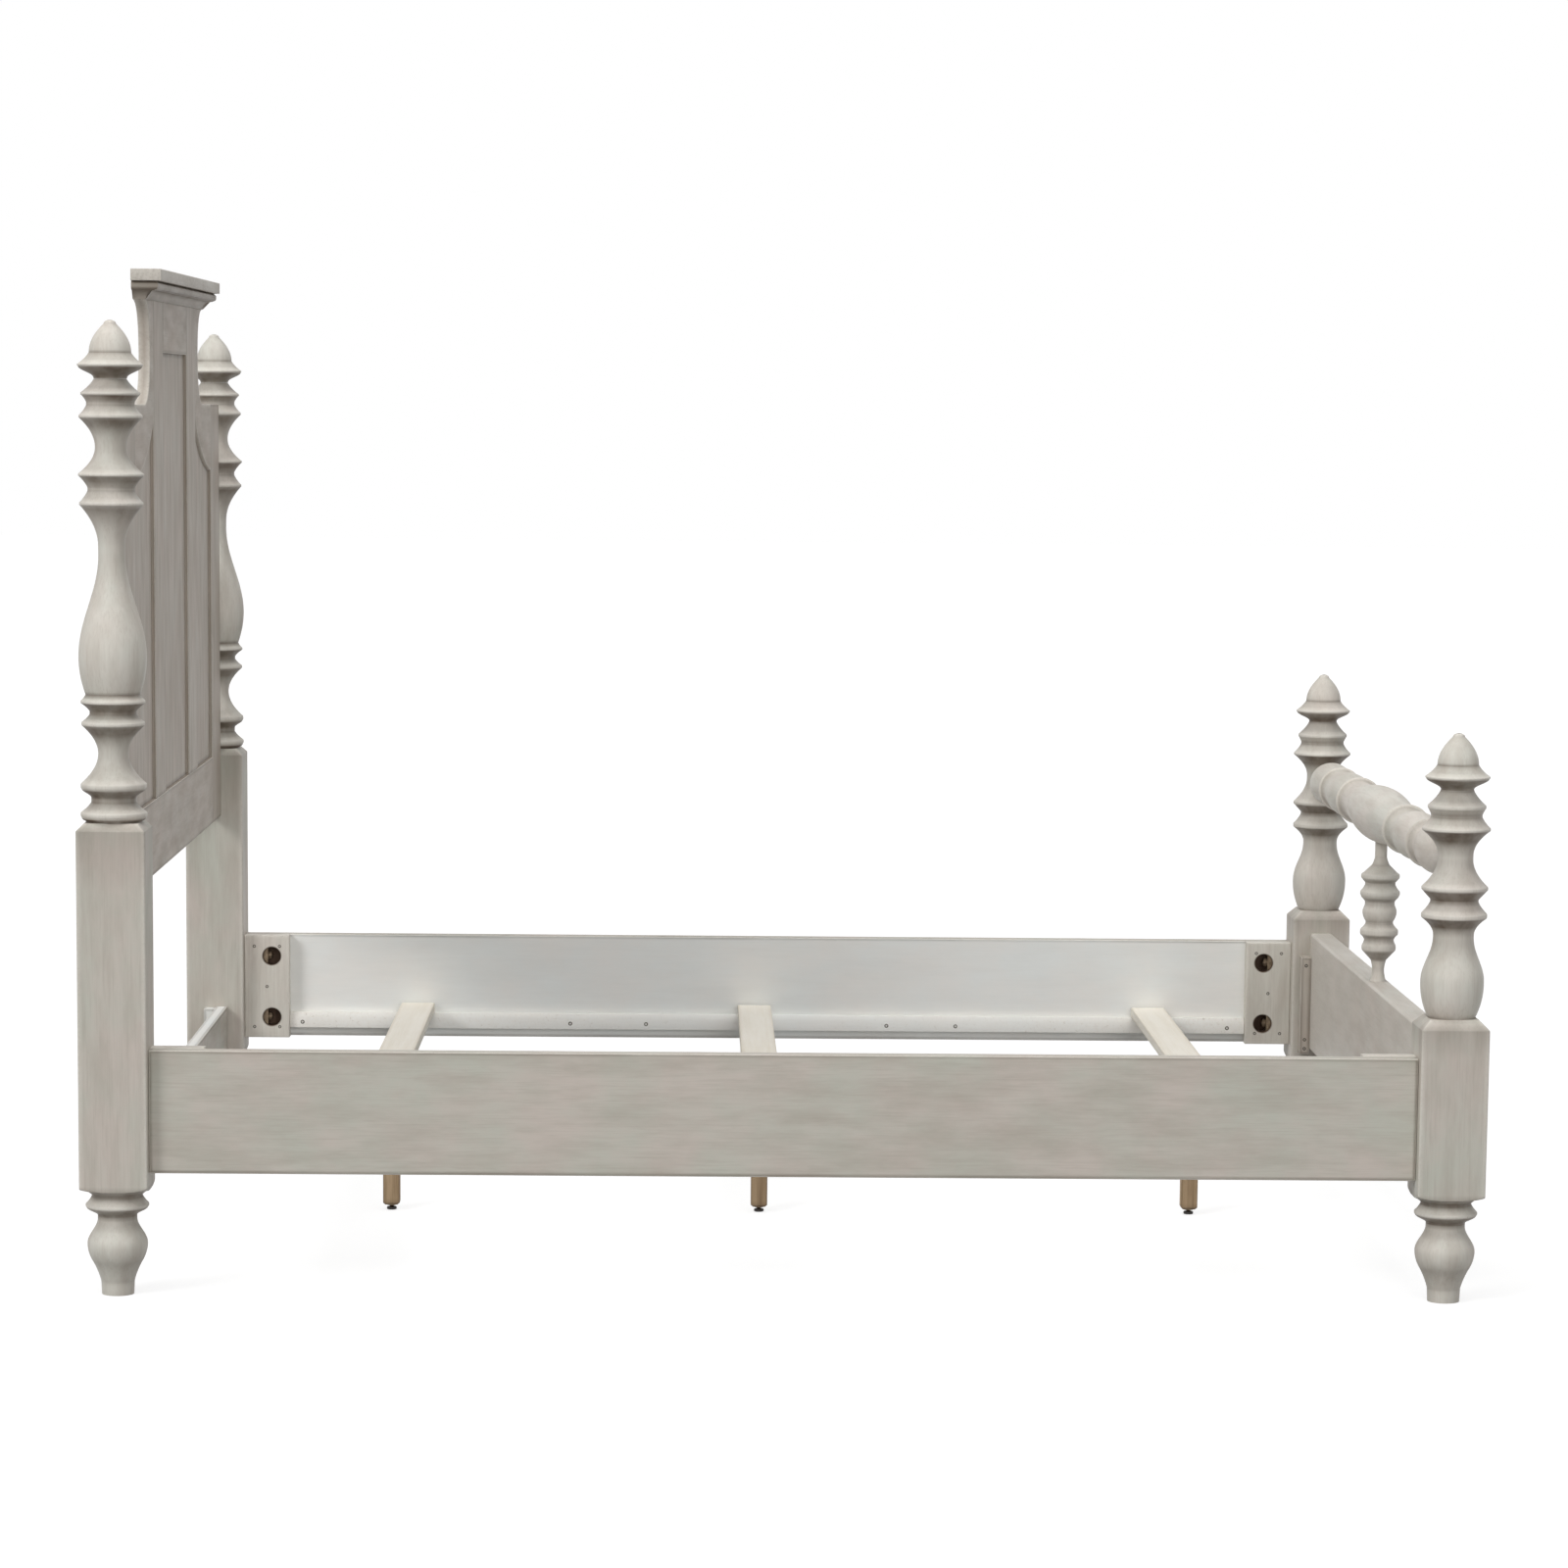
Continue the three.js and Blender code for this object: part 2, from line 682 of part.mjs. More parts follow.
// The board over a side bay: arched below, with a shoulder, a scooped notch and a flared horn above.
function sideTopRail(side) {
  const shape = new THREE.Shape();
  const inner = mullionOuterX + seatGap;
  const outer = stileInnerX - seatGap;
  const neckHeight = shoulderHeight + notchRise;
  const flareTop = boardTop - mouldingHeight - flareBelowMoulding;
  const arch = archPoints(0).filter(([x]) => x > inner && x < outer);
  shape.moveTo(inner, archPoints(0)[0][1]);
  for (const [x, z] of arch) shape.lineTo(x, z);
  shape.lineTo(outer, archOuterHeight);
  shape.lineTo(outer, shoulderHeight);
  shape.lineTo(notchOuterX, shoulderHeight);
  shape.absellipse(notchOuterX, neckHeight, notchDepth, notchRise, -Math.PI / 2, -Math.PI, true, 0);
  shape.quadraticCurveTo(neckX, neckHeight + flareTurn * (flareTop - neckHeight), hornX, flareTop);
  shape.lineTo(hornX, boardTop);
  shape.lineTo(inner, boardTop);
  const points = shape.getPoints(notchSegments).map((point) => [side * point.x, point.y]);
  return prismAlongY(polygon(points), boardFrontY, boardBackY);
}

function addHeadboard() {
  const bottomEnd = stileInnerX - seatGap;
  addBoardPiece('headboard_bottom_rail', box(
    [-bottomEnd, boardFrontY, boardBottom], [bottomEnd, boardBackY, bayBottom],
  ));
  const topEnd = mullionInnerX - seatGap;
  addBoardPiece('headboard_centre_top_rail', box(
    [-topEnd, boardFrontY, centreBayTop], [topEnd, boardBackY, boardTop],
  ));
  for (const [sideName, side] of sides) {
    addBoardPiece(`headboard_stile_${sideName}`, sideBox(
      side, [stileInnerX, boardFrontY, boardBottom], [stileOuterX, boardBackY, shoulderHeight],
    ));
    addBoardPiece(`headboard_mullion_${sideName}`, sideBox(
      side, [mullionInnerX, boardFrontY, bayBottom + seatGap], [mullionOuterX, boardBackY, boardTop],
    ));
    addBoardPiece(`headboard_top_rail_${sideName}`, sideTopRail(side));
    const panel = panelSlab(sideBay(panelTongue - boreGap, side), 0);
    addPiece(`headboard_panel_${sideName}`, panel, panelPaint);
  }
  addPiece('headboard_panel_centre', panelSlab(centreBay(panelTongue - boreGap), 0), panelPaint);
}

addHeadboard();

// Crown: a square-edged cap board over a moulding that returns round both ends of the headboard

// A mitred run of one section round the front and both ends, the section given as [reach, height].
function crownRun(section) {
  const frontShape = polygon([
    [boardBackY, section[0][1]],
    ...section.map(([reach, height]) => [boardFrontY - reach, height]),
    [boardBackY, section.at(-1)[1]],
  ]);
  const halfWidths = section.map(([reach, height]) => [crownHalfWidth - crownReach + reach, height]);
  const mirrored = halfWidths.map(([x, height]) => [-x, height]).reverse();
  const sideShape = polygon([...halfWidths, ...mirrored]);
  const front = prismAlongX(frontShape, -crownHalfWidth, crownHalfWidth);
  return front.intersect(prismAlongY(sideShape, boardFrontY - crownReach, boardBackY));
}

// A hollow or round quarter of an ellipse from one point of a section to another.
function quarterSection(from, to, hollow) {
  const points = [];
  for (let step = 0; step <= mouldingSegments; step += 1) {
    const angle = (step / mouldingSegments) * Math.PI / 2;
    const reachShare = hollow ? 1 - Math.cos(angle) : Math.sin(angle);
    const heightShare = hollow ? Math.sin(angle) : 1 - Math.cos(angle);
    points.push([from[0] + (to[0] - from[0]) * reachShare, from[1] + (to[1] - from[1]) * heightShare]);
  }
  return points;
}

function addCrown() {
  const capBottom = boardTop + seatGap;
  const capTop = capBottom + capThickness;
  const cap = crownRun([
    [crownReach - capEdgeChamfer, capBottom],
    [crownReach, capBottom + capEdgeChamfer],
    [crownReach, capTop - capEdgeChamfer],
    [crownReach - capEdgeChamfer, capTop],
  ]);
  addPiece('crown_cap', cap, paint);

  const foot = boardTop - mouldingHeight;
  const coveTop = foot + mouldingCoveHeight;
  const roundBottom = coveTop + mouldingStep;
  const roundTop = roundBottom + mouldingRoundHeight;
  const beadReach = crownReach - crownGroove;
  const coveReach = beadReach - mouldingCoveInset;
  const moulding = crownRun([
    ...quarterSection([mouldingFootReach, foot], [coveReach, coveTop], true),
    ...quarterSection([coveReach + mouldingStep, roundBottom], [beadReach, roundTop], false),
    [beadReach, boardTop - mouldingTopBevel],
    [beadReach - mouldingTopBevel, boardTop],
  ]);
  const lowest = foot - overrun;
  const highest = boardTop + overrun;
  const recess = box(
    [-hornX - seatGap, boardFrontY - seatGap, lowest], [hornX + seatGap, boardBackY + overrun, highest],
  );
  const run = moulding.subtract(recess);
  const cornerX = crownHalfWidth;
  const cornerY = boardFrontY - crownReach;
  const depth = boardBackY - cornerY;
  const gap = seatGap / 2;
  const frontPlan = polygon([
    [-cornerX + gap, cornerY - gap], [cornerX - gap, cornerY - gap],
    [cornerX - depth - gap, boardBackY - gap], [-cornerX + depth + gap, boardBackY - gap],
  ]);
  addPiece('crown_moulding_front', run.intersect(prismUpwards(frontPlan, lowest, highest)), paint);
  for (const [sideName, side] of sides) {
    const plan = polygon([
      [cornerX + gap, cornerY + gap],
      [cornerX + gap, boardBackY + gap],
      [cornerX - depth + gap, boardBackY + gap],
    ].map(([x, y]) => [side * x, y]));
    addPiece(`crown_moulding_${sideName}`, run.intersect(prismUpwards(plan, lowest, highest)), paint);
  }
}

addCrown();

// Lower stretcher between the head posts, with a cleat behind each end

function addStretcher() {
  const reach = innerFaceX - seatGap;
  const frontY = postY - stretcherSetForward;
  const backY = frontY + stretcherThickness;
  const bottom = stretcherTopHeight - stretcherHeight;
  addPiece('head_stretcher', box([-reach, frontY, bottom], [reach, backY, stretcherTopHeight]), paint);
  for (const [sideName, side] of sides) {
    const cleat = sideBox(
      side,
      [reach - stretcherCleatLength, backY + seatGap, bottom + stretcherCleatDrop],
      [reach, backY + seatGap + stretcherCleatThickness, stretcherTopHeight - stretcherCleatDrop],
    );
    addPiece(`stretcher_cleat_${sideName}`, cleat, paint);
  }
}

addStretcher();

// Footboard: a plain panel, a heavy turned bar above it and one turned spindle between the two

function addFootPanel() {
  const half = footPanelThickness / 2;
  const reach = innerFaceX - seatGap;
  const round = footPanelEdgeRound;
  const section = new THREE.Shape();
  section.moveTo(-half, railBottom);
  section.lineTo(half, railBottom);
  section.lineTo(half, footPanelTop - round);
  section.absarc(half - round, footPanelTop - round, round, 0, Math.PI / 2);
  section.lineTo(-half + round, footPanelTop);
  section.absarc(-half + round, footPanelTop - round, round, Math.PI / 2, Math.PI);
  const mortiseBottom = footPanelTop - spindleTenonReach - overrun;
  const mortise = rod('z', spindleTenonRadius + boreGap, mortiseBottom, footPanelTop + overrun, [0, 0, 0]);
  const panel = prismAlongX(section, -reach, reach, footPanelRoundSegments).subtract(mortise);
  addPiece('footboard_panel', panel, panelPaint, [0, -postY, 0]);
  const cleatY = -postY + half + seatGap;
  for (const [sideName, side] of sides) {
    const cleat = sideBox(
      side,
      [reach - footCleatSize, cleatY, railBottom - footCleatBottomRise],
      [reach, cleatY + footCleatDepth, footPanelTop - footCleatTopDrop],
    );
    addPiece(`footboard_cleat_${sideName}`, cleat, paint);
  }
}

// The bar is turned about X and is coped at both ends to fit the posts' coves.
function addBar() {
  const half = outlinePoints(barMiddleRadius, barHalfOutline, 0);
  const points = [...half.slice(1).map((point) => new THREE.Vector2(point.x, -point.y)).reverse(), ...half];
  let bar = turned(points, postSides).rotate([0, 90, 0]).translate([0, 0, barHeight]);
  const upper = [...footTurningToBar, ...footTurningAboveBar];
  const grown = turned(outlinePoints(footTurningStartRadius, upper, footTurningBottom, seatGap), postSides);
  bar = bar.subtract(grown.translate([postX, 0, 0])).subtract(grown.translate([-postX, 0, 0]));
  for (const [, side] of sides) {
    const tenonFrom = side * (totalRise(barHalfOutline) - barTenonReach);
    bar = bar.add(rod('x', barTenonRadius, tenonFrom, side * barTenonEnd, [0, 0, barHeight]));
  }
  const underside = barHeight - barMiddleRadius;
  const socketTop = underside + spindleTenonReach + overrun;
  const socket = rod('z', spindleTenonRadius + boreGap, underside - overrun, socketTop, [0, 0, 0]);
  addPiece('footboard_bar', bar.subtract(socket), paint, [0, -postY, 0]);
}

function addSpindle() {
  const seat = footPanelTop + seatGap;
  const underside = barHeight - barMiddleRadius;
  const neckTop = underside - seatGap;
  const neckHeight = neckTop - seat - totalRise(spindleOutline);
  const outline = [...spindleOutline, [neckHeight, spindleOutline.at(-1)[1], 'line', 1]];
  const body = turned(outlinePoints(spindleFootRadius, outline, seat), spindleSides);
  const tenonBottom = footPanelTop - spindleTenonReach;
  const tenons = rod('z', spindleTenonRadius, tenonBottom, underside + spindleTenonReach, [0, 0, 0]);
  addPiece('footboard_spindle', body.add(tenons), paint, [0, -postY, 0]);
}

addFootPanel();
addBar();
addSpindle();

export default bed;
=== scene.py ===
from math import acos, ceil, cos, degrees, hypot, pi, radians, sin, sqrt

import bmesh
import bpy
from mathutils import Matrix, Vector
from mathutils.geometry import interpolate_bezier


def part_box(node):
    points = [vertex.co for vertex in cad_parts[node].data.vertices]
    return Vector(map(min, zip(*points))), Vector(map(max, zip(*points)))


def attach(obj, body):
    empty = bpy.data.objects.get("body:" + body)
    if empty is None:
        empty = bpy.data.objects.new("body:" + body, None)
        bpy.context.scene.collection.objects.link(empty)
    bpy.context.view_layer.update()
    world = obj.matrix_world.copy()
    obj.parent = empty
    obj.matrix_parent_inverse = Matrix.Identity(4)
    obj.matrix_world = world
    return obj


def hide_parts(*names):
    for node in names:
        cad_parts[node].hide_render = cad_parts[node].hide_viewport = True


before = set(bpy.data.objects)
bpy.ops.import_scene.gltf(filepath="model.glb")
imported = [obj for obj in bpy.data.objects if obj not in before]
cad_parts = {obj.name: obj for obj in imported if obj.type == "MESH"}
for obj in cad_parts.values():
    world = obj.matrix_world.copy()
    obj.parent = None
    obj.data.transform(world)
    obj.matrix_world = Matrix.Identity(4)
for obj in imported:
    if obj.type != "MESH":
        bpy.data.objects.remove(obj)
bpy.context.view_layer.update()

# A painted poster bed, in metres: X across the bed, +Y to the headboard, Z up.
# Boards take their size and place from the frame; turned outlines are written in millimetres.

MM = 0.001
SIDES = (("left", -1), ("right", 1))
ENDS = (("head", 1), ("foot", -1))
SLATS = ("head", "middle", "foot")

# Turned work: steps of rise, new radius and curve from a starting radius
TURNED_SIDES = 64
POST_SIDES = 72
FOOT_START = 26.5
TURNED_FOOT = [
    (22, 27.5, "line"), (36, 42.5, "slope"), (27, 49.5, "swell"), (42, 32.3, "wave"), (5, 32.3, "line"),
    (14, 52, "wave"), (6, 52, "rim"), (13, 41.5, "slope"), (10, 50, "wave"), (2, 50, "line"),
]
POST_TURNINGS = {
    "head": (46, [
        (2, 46, "line"), (6, 54, "bulge"), (8, 54, "rim"), (16, 36.5, "slope"), (7, 36.5, "line"),
        (15, 53.5, "wave"), (9, 53.5, "rim"), (48, 24.8, "sweep"), (45, 51.5, "sweep"), (7, 51.5, "rim"),
        (12, 38, "slope"), (5, 38, "line"), (12, 52.3, "slope"), (6, 52.3, "rim"), (9, 44.3, "slope"),
        (61, 55.2, "swell"), (165, 21.8, "wave"), (15, 22, "line"), (64, 51.7, "sweep"), (6, 51.7, "rim"),
        (18, 38, "slope"), (5, 38, "line"), (18, 53, "slope"), (5, 53, "rim"), (42, 25.5, "sweep"),
        (46, 51.3, "sweep"), (6, 51.3, "rim"), (15, 39, "slope"), (5, 39, "line"), (11, 48, "slope"),
        (5, 48, "rim"), (21, 26.5, "slope"),
    ]),
    "foot": (39.5, [
        (54, 52, "swell"), (6, 52, "line"), (72, 33.3, "wave"), (4, 33.3, "line"), (28, 54, "sweep"),
        (9, 54, "rim"), (18, 39.5, "slope"), (4, 39.5, "line"), (15, 54.5, "line"), (7, 54.5, "rim"),
        (45, 29, "sweep"), (6, 29, "line"), (40, 56, "sweep"), (6, 56, "rim"), (17, 42, "slope"),
        (4, 42, "line"), (9, 47.8, "line"), (7, 47.8, "rim"), (23, 27.5, "slope"),
    ]),
}
FINIAL = [
    (2, 27, "line"), (18, 53, "wave"), (4, 53, "rim"), (18, 34, "slope"), (46, 10, "swell"), (6, 0, "bulge"),
]
BAR_MIDDLE_RADIUS = 50
BAR_HALF = [
    (270, 36, "wave"), (14, 44, "cove"), (6, 44, "rim"), (18, 33, "cove"), (100, 42, "wave"),
    (112, 35, "wave"), (13, 42.5, "cove"), (6, 42.5, "rim"), (15, 32, "cove"), (96, 42, "wave"),
]
BAR_END_RADIUS = 24
BAR_END_SETBACK = 24
SPINDLE_FOOT = 15
SPINDLE = [
    (23, 10.8, "sweep"), (16, 14, "slope"), (17, 31, "line"), (12, 31, "rim"), (7, 27, "slope"),
    (10, 34.5, "sweep"), (11, 34.5, "rim"), (10, 25, "slope"), (4, 25, "line"), (18, 31, "swell"),
    (14, 27, "wave"), (3, 27, "line"), (12, 36, "wave"), (9, 36, "rim"), (11, 27.5, "slope"),
    (4, 27.5, "line"), (7, 35, "line"), (9, 34, "rim"), (16, 16, "line"), (14, 11, "slope"),
]

# How far a curve sags below its chord, the rounding of rims, and the spacing of points
SAGS = {"line": 0.0, "slope": 0.4, "sweep": 1.0, "swell": -1.0}
RIM_ROUND = 1.4
RIM_STEPS = 8
CURVE_STEPS = 11
FINEST_STEP = 1.6
COARSEST_STEP = 7.0

# Glaze, painted shade, wear and painted highlight of the turned work, in millimetres where they are lengths
# Glaze in hollows, necks and creases, which also lays painted shade there
HOLLOW_REACH = 8.0
HOLLOW_GLAZE_AND_SHADE_DEPTH = 2.8
CREASE_REACH = 4.0
CREASE_DEPTH = (0.22, 0.6)
CREASE_GLAZE_AND_SHADE = 0.85
CREASE_LEAST_RADIUS = 12.0
NECK_REACH = 16.0
NECK_DEPTH = (2.5, 5.0)
# Painted shadow under the square block: how far below it reaches
UNDER_BLOCK_SHADOW = 15.0
# Painted shade under ledges: how far to look, how dark it gets, and how fast it grows where the surface faces
# down
LEDGE_REACH = 3.0
UNDERSIDE_SHADE = 1.4
UNDERSIDE_SHADE_POWER = 2.2
# Amounts of glaze with painted shade in hollows, and of painted shade under ledges
POST_GLAZE_AND_SHADE = (1.0, 1.0)
SPINDLE_GLAZE_AND_SHADE = (0.5, 0.55)
BAR_GLAZE_AND_SHADE = (0.35, 0.0)
# How far a rim stands out to be worn, and painted pale there as a highlight
RIM_MARK_DEPTH = 3.5

# Square blocks of the posts
BLOCK_HALF = 56
BLOCK_CHAMFERS = {"head": 12, "foot": 16}
SHOULDER_RISE = 12
CHAMFER_EASE = 1.2
CORNER_POWER = 44
# Corners, shoulder and edges of the block are worn and painted pale there as a highlight
CORNER_MARK_DEGREES = 5.0
BLOCK_EDGE_GLAZE = (0.45, 10.0)
SHOULDER_MARK = 0.6
BLOCK_EDGE_MARK = 0.3

# Boards
EDGE_ROUND = 1.6 * MM
SOFT_ROUND = 2.6 * MM
SLAT_ROUND = 2.2 * MM
RIM_WIDTH = 7 * MM
EDGE_GLAZE = 0.55
# Glaze with painted shade where a panel meets its frame
RECESS_GLAZE_AND_SHADE = 0.9
SEAT_GAP = 0.25 * MM

LEG_CHAMFER = 4 * MM
LEDGER_CHAMFER_DEPTH = 7 * MM
LEDGER_CHAMFER_DROP = 10 * MM
LEDGER_RIM = 4 * MM
FOOT_PANEL_ROUND = 6 * MM

# Rail ends: two round pockets in each end block, each with a bolt, a half-moon washer and a nut
POCKET_RADIUS = 18 * MM
POCKET_FROM_POST = 54 * MM
POCKET_SPACING = 122 * MM
POCKET_CHAMFER = 0.8 * MM
POCKET_HALO = 2.4 * MM
POCKET_SIDES = 40
BOLT_RADIUS = 5 * MM
BOLT_PAST_MIDDLE = 1 * MM
BOLT_DEPTH_IN_POST = 50 * MM
WASHER_WIDTH = 22 * MM
WASHER_FLAT = 8 * MM
NUT_ACROSS_FLATS = 16 * MM
NUT_THICKNESS = 7 * MM
NUT_BEVEL = 1.1 * MM
THREADS = 9
THREAD_PITCH = 1.75 * MM
THREAD_DEPTH = 0.7 * MM

# Headboard outline, where it isn't a plain board
SHOULDER_LENGTH = 142 * MM
NOTCH_DEPTH = 80 * MM
NOTCH_RISE = 84 * MM
FLARE_OUT = 73.25 * MM
FLARE_TURN = 0.93
FLARE_BELOW_TOP = 31 * MM
ARCH_RISE = 110 * MM
ARCH_INNER_PULL = (4 * MM, 35 * MM)
ARCH_OUTER_PULL = (127 * MM, 10 * MM)
PANEL_TONGUE = 7.7 * MM

# Crown
CROWN_REACH = 31 * MM
CAP_EDGE_ROUND = 1.5 * MM
CAP_LIP = 6 * MM
CAP_UNWORN = 8 * MM
# How far glaze with painted shade reaches from the moulding's step and from the cap
GROOVE_GLAZE_AND_SHADE = 6 * MM
CROWN_GROOVE = 6 * MM
MOULDING_FOOT_REACH = 2 * MM
COVE_HEIGHT = 15 * MM
COVE_INSET = 6 * MM
MOULDING_STEP = 1 * MM
ROUND_HEIGHT = 5 * MM
TOP_BEVEL = 4 * MM
FRONT_GAP = 0.3 * MM

# Screws
LEDGER_SCREW_PLACES = (0.928, 0.395, 0.244, -0.236, -0.374, -0.918)
LEDGER_SCREW_DROP = 4 * MM
LEDGER_SCREW_RADIUS = 4 * MM
BLOCK_SCREW_ALONG = 25 * MM
BLOCK_SCREW_UP = 80.5 * MM
BLOCK_SCREW_RADIUS = 3.2 * MM
FOOT_CLEAT_SCREW_HEIGHTS = (0.371, 0.223, 0.205)
STRETCHER_CLEAT_SCREW_SHARES = (0.25, 0.75)
CLEAT_SCREW_RADIUS = 3.4 * MM
SCREW_SIDES = 28
SCREW_SHARES = (0.16, 0.3, 0.45, 0.62, 0.8, 0.94, 1.0)
SCREW_DOME = 0.35 * MM
SCREW_SLOT = 0.9 * MM
SCREW_SKIRT = 0.8 * MM

# Meshes: points closer than this are one, and edges past these angles stay sharp
WELD_DISTANCE = 1e-7
SHARP_DEGREES = 38
BOARD_SHARP_DEGREES = 50
NUT_SHARP_DEGREES = 28

# Materials by name, made before the pieces
FINISHES = {}


# Meshes

def middle_of(node):
    low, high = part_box(node)
    return (low + high) / 2


def linked(name, data):
    made = bpy.data.objects.new(name, data)
    bpy.context.scene.collection.objects.link(made)
    return made


def shaded(name, mesh, sharp_degrees, weld=False):
    """A piece with smooth faces, where the edges that are sharper than an angle are left sharp."""
    builder = bmesh.new()
    builder.from_mesh(mesh)
    if weld:
        bmesh.ops.remove_doubles(builder, verts=builder.verts, dist=WELD_DISTANCE)
        bmesh.ops.dissolve_degenerate(builder, edges=builder.edges, dist=WELD_DISTANCE)
    bmesh.ops.recalc_face_normals(builder, faces=builder.faces)
    for face in builder.faces:
        face.smooth = True
    limit = radians(sharp_degrees)
    for edge in builder.edges:
        edge.smooth = not (len(edge.link_faces) == 2 and edge.calc_face_angle() > limit)
    builder.to_mesh(mesh)
    builder.free()
    return linked(name, mesh)


def written(name, builder):
    mesh = bpy.data.meshes.new(name)
    builder.to_mesh(mesh)
    builder.free()
    return mesh


def mesh_of(name, points, faces):
    """A mesh from points of a place and two marks: how much dark glaze and painted shade lies there, and how
    much wear and painted highlight.
    """
    places, glaze_and_shade, wear_and_highlight = zip(*points)
    mesh = bpy.data.meshes.new(name)
    mesh.from_pydata([tuple(place) for place in places], [], faces)
    for label, values in (("glaze_and_shade", glaze_and_shade), ("wear_and_highlight", wear_and_highlight)):
        mesh.attributes.new(label, "FLOAT", "POINT").data.foreach_set("value", values)
    return mesh


def loft(name, loops, wrap=False, sharp_degrees=SHARP_DEGREES):
    """A closed skin over loops of equal length. Each point of a loop is a place, its mark of glaze and painted
    shade, and its mark of wear and painted highlight.
    """
    count = len(loops[0])
    points = [point for loop in loops for point in loop]
    faces = []
    for i in range(len(loops) if wrap else len(loops) - 1):
        here, there = i * count, ((i + 1) % len(loops)) * count
        for j in range(count):
            k = (j + 1) % count
            faces.append((here + j, here + k, there + k, there + j))
    if not wrap:
        for start, loop in ((0, loops[0]), ((len(loops) - 1) * count, loops[-1])):
            centre = sum((Vector(point[0]) for point in loop), Vector()) / count
            points.append((centre, *loop[0][1:]))
            faces.extend((start + j, start + (j + 1) % count, len(points) - 1) for j in range(count))
    return shaded(name, mesh_of(name, points, faces), sharp_degrees, weld=True)


def joined(name, pieces):
    """One object that holds the meshes of several."""
    builder = bmesh.new()
    for piece in pieces:
        builder.from_mesh(piece.data)
        bpy.data.objects.remove(piece)
    return linked(name, written(name, builder))


# Turned work

def curve_shares(curve, growing, share):
    """Shares of the rise and of the change of radius at a point of a curve."""
    angle = share * pi / 2
    early = (1 - cos(angle), sin(angle))
    late = early[::-1]
    if curve == "cove":
        return late if growing else early
    if curve == "bulge":
        return early if growing else late
    if curve == "wave":
        return share, (1 - cos(pi * share)) / 2
    sag = SAGS[curve] * share * (1 - share)
    return share, share - sag if growing else share + sag


def turned_points(start_radius, outline, start_height=0.0):
    """Points of height and radius, in millimetres, along a turned outline. A rim has rounded edges."""
    points = [(start_height, start_radius)]
    height, radius = start_height, start_radius
    curves = [step[2] for step in outline] + ["line"]
    for number, (rise, new_radius, curve) in enumerate(outline):
        if "rim" in (curve, curves[number + 1]):
            new_radius -= RIM_ROUND
        if curve == "rim":
            for i in range(1, RIM_STEPS + 1):
                share = i / RIM_STEPS
                points.append((height + rise * share, radius + RIM_ROUND * (1 - (2 * share - 1) ** 4)))
        else:
            length = hypot(rise, new_radius - radius)
            step = min(max(length / CURVE_STEPS, FINEST_STEP), COARSEST_STEP)
            count = max(1, ceil(length / step))
            for i in range(1, count + 1):
                rise_share, radius_share = curve_shares(curve, new_radius > radius, i / count)
                points.append((height + rise * rise_share, radius + (new_radius - radius) * radius_share))
        height, radius = height + rise, new_radius
    return points


def total_rise(outline):
    return sum(step[0] for step in outline)


def radius_at(points, height):
    """The radius of a turned outline at a height, in millimetres."""
    for (low, low_radius), (high, high_radius) in zip(points, points[1:]):
        if low <= height <= high and high > low:
            return low_radius + (high_radius - low_radius) * (height - low) / (high - low)
    return points[0][1] if height < points[0][0] else points[-1][1]


def stand_out(points, height, reach):
    """How far the radius stands above its surroundings' mean, below nought in a hollow."""
    around = [radius_at(points, height + share * reach) for share in (-1, -0.6, -0.3, 0.3, 0.6, 1)]
    return radius_at(points, height) - sum(around) / len(around)


def weathering(points, amounts=POST_GLAZE_AND_SHADE):
    """Points with glaze and painted shade in hollows, painted shade under ledges, by two amounts, and with wear
    and a painted highlight on rims.
    """
    steps = []
    for height, radius in points:
        excess = stand_out(points, height, HOLLOW_REACH)
        neck = (-stand_out(points, height, NECK_REACH) - NECK_DEPTH[0]) / NECK_DEPTH[1]
        crease = (-stand_out(points, height, CREASE_REACH) - CREASE_DEPTH[0]) / CREASE_DEPTH[1]
        crease = CREASE_GLAZE_AND_SHADE * min(1.0, crease) if radius > CREASE_LEAST_RADIUS else 0.0
        # Glaze in hollows, necks and creases, with painted shade there as well
        hollow = min(1.0, max(0.0, -excess / HOLLOW_GLAZE_AND_SHADE_DEPTH, neck, crease))
        # Painted shade under ledges, where the surface faces down
        rise = radius_at(points, height + LEDGE_REACH) - radius_at(points, height - LEDGE_REACH)
        overhang = rise / (2 * LEDGE_REACH)
        underside_shade = UNDERSIDE_SHADE * min(1.0, max(0.0, overhang)) ** UNDERSIDE_SHADE_POWER
        glaze_and_shade = min(1.0, hollow * amounts[0] + underside_shade * amounts[1])
        # Wear on rims that stand out, which also lays a painted highlight there
        steps.append((height, radius, glaze_and_shade, min(1.0, max(0.0, excess / RIM_MARK_DEPTH))))
    return steps


def even_angles(count):
    return [2 * pi * i / count for i in range(count)]


def post_angles():
    """Even angles with a few more beside the square block's corners."""
    extra = [corner + offset for corner in (45, 135, 225, 315) for offset in (-3.0, -1.8, -0.8, 0.8, 1.8, 3.0)]
    return sorted(set(even_angles(POST_SIDES)) | set(map(radians, extra)))


def square_radius(angle, half):
    """The reach of a square with slightly rounded corners."""
    powers = abs(cos(angle)) ** CORNER_POWER + abs(sin(angle)) ** CORNER_POWER
    return half / powers ** (1 / CORNER_POWER)


def corner_share(angle):
    """One on a corner of the square block, nought a few degrees away."""
    off = abs((degrees(angle) % 90) - 45)
    return max(0.0, 1 - off / CORNER_MARK_DEGREES)


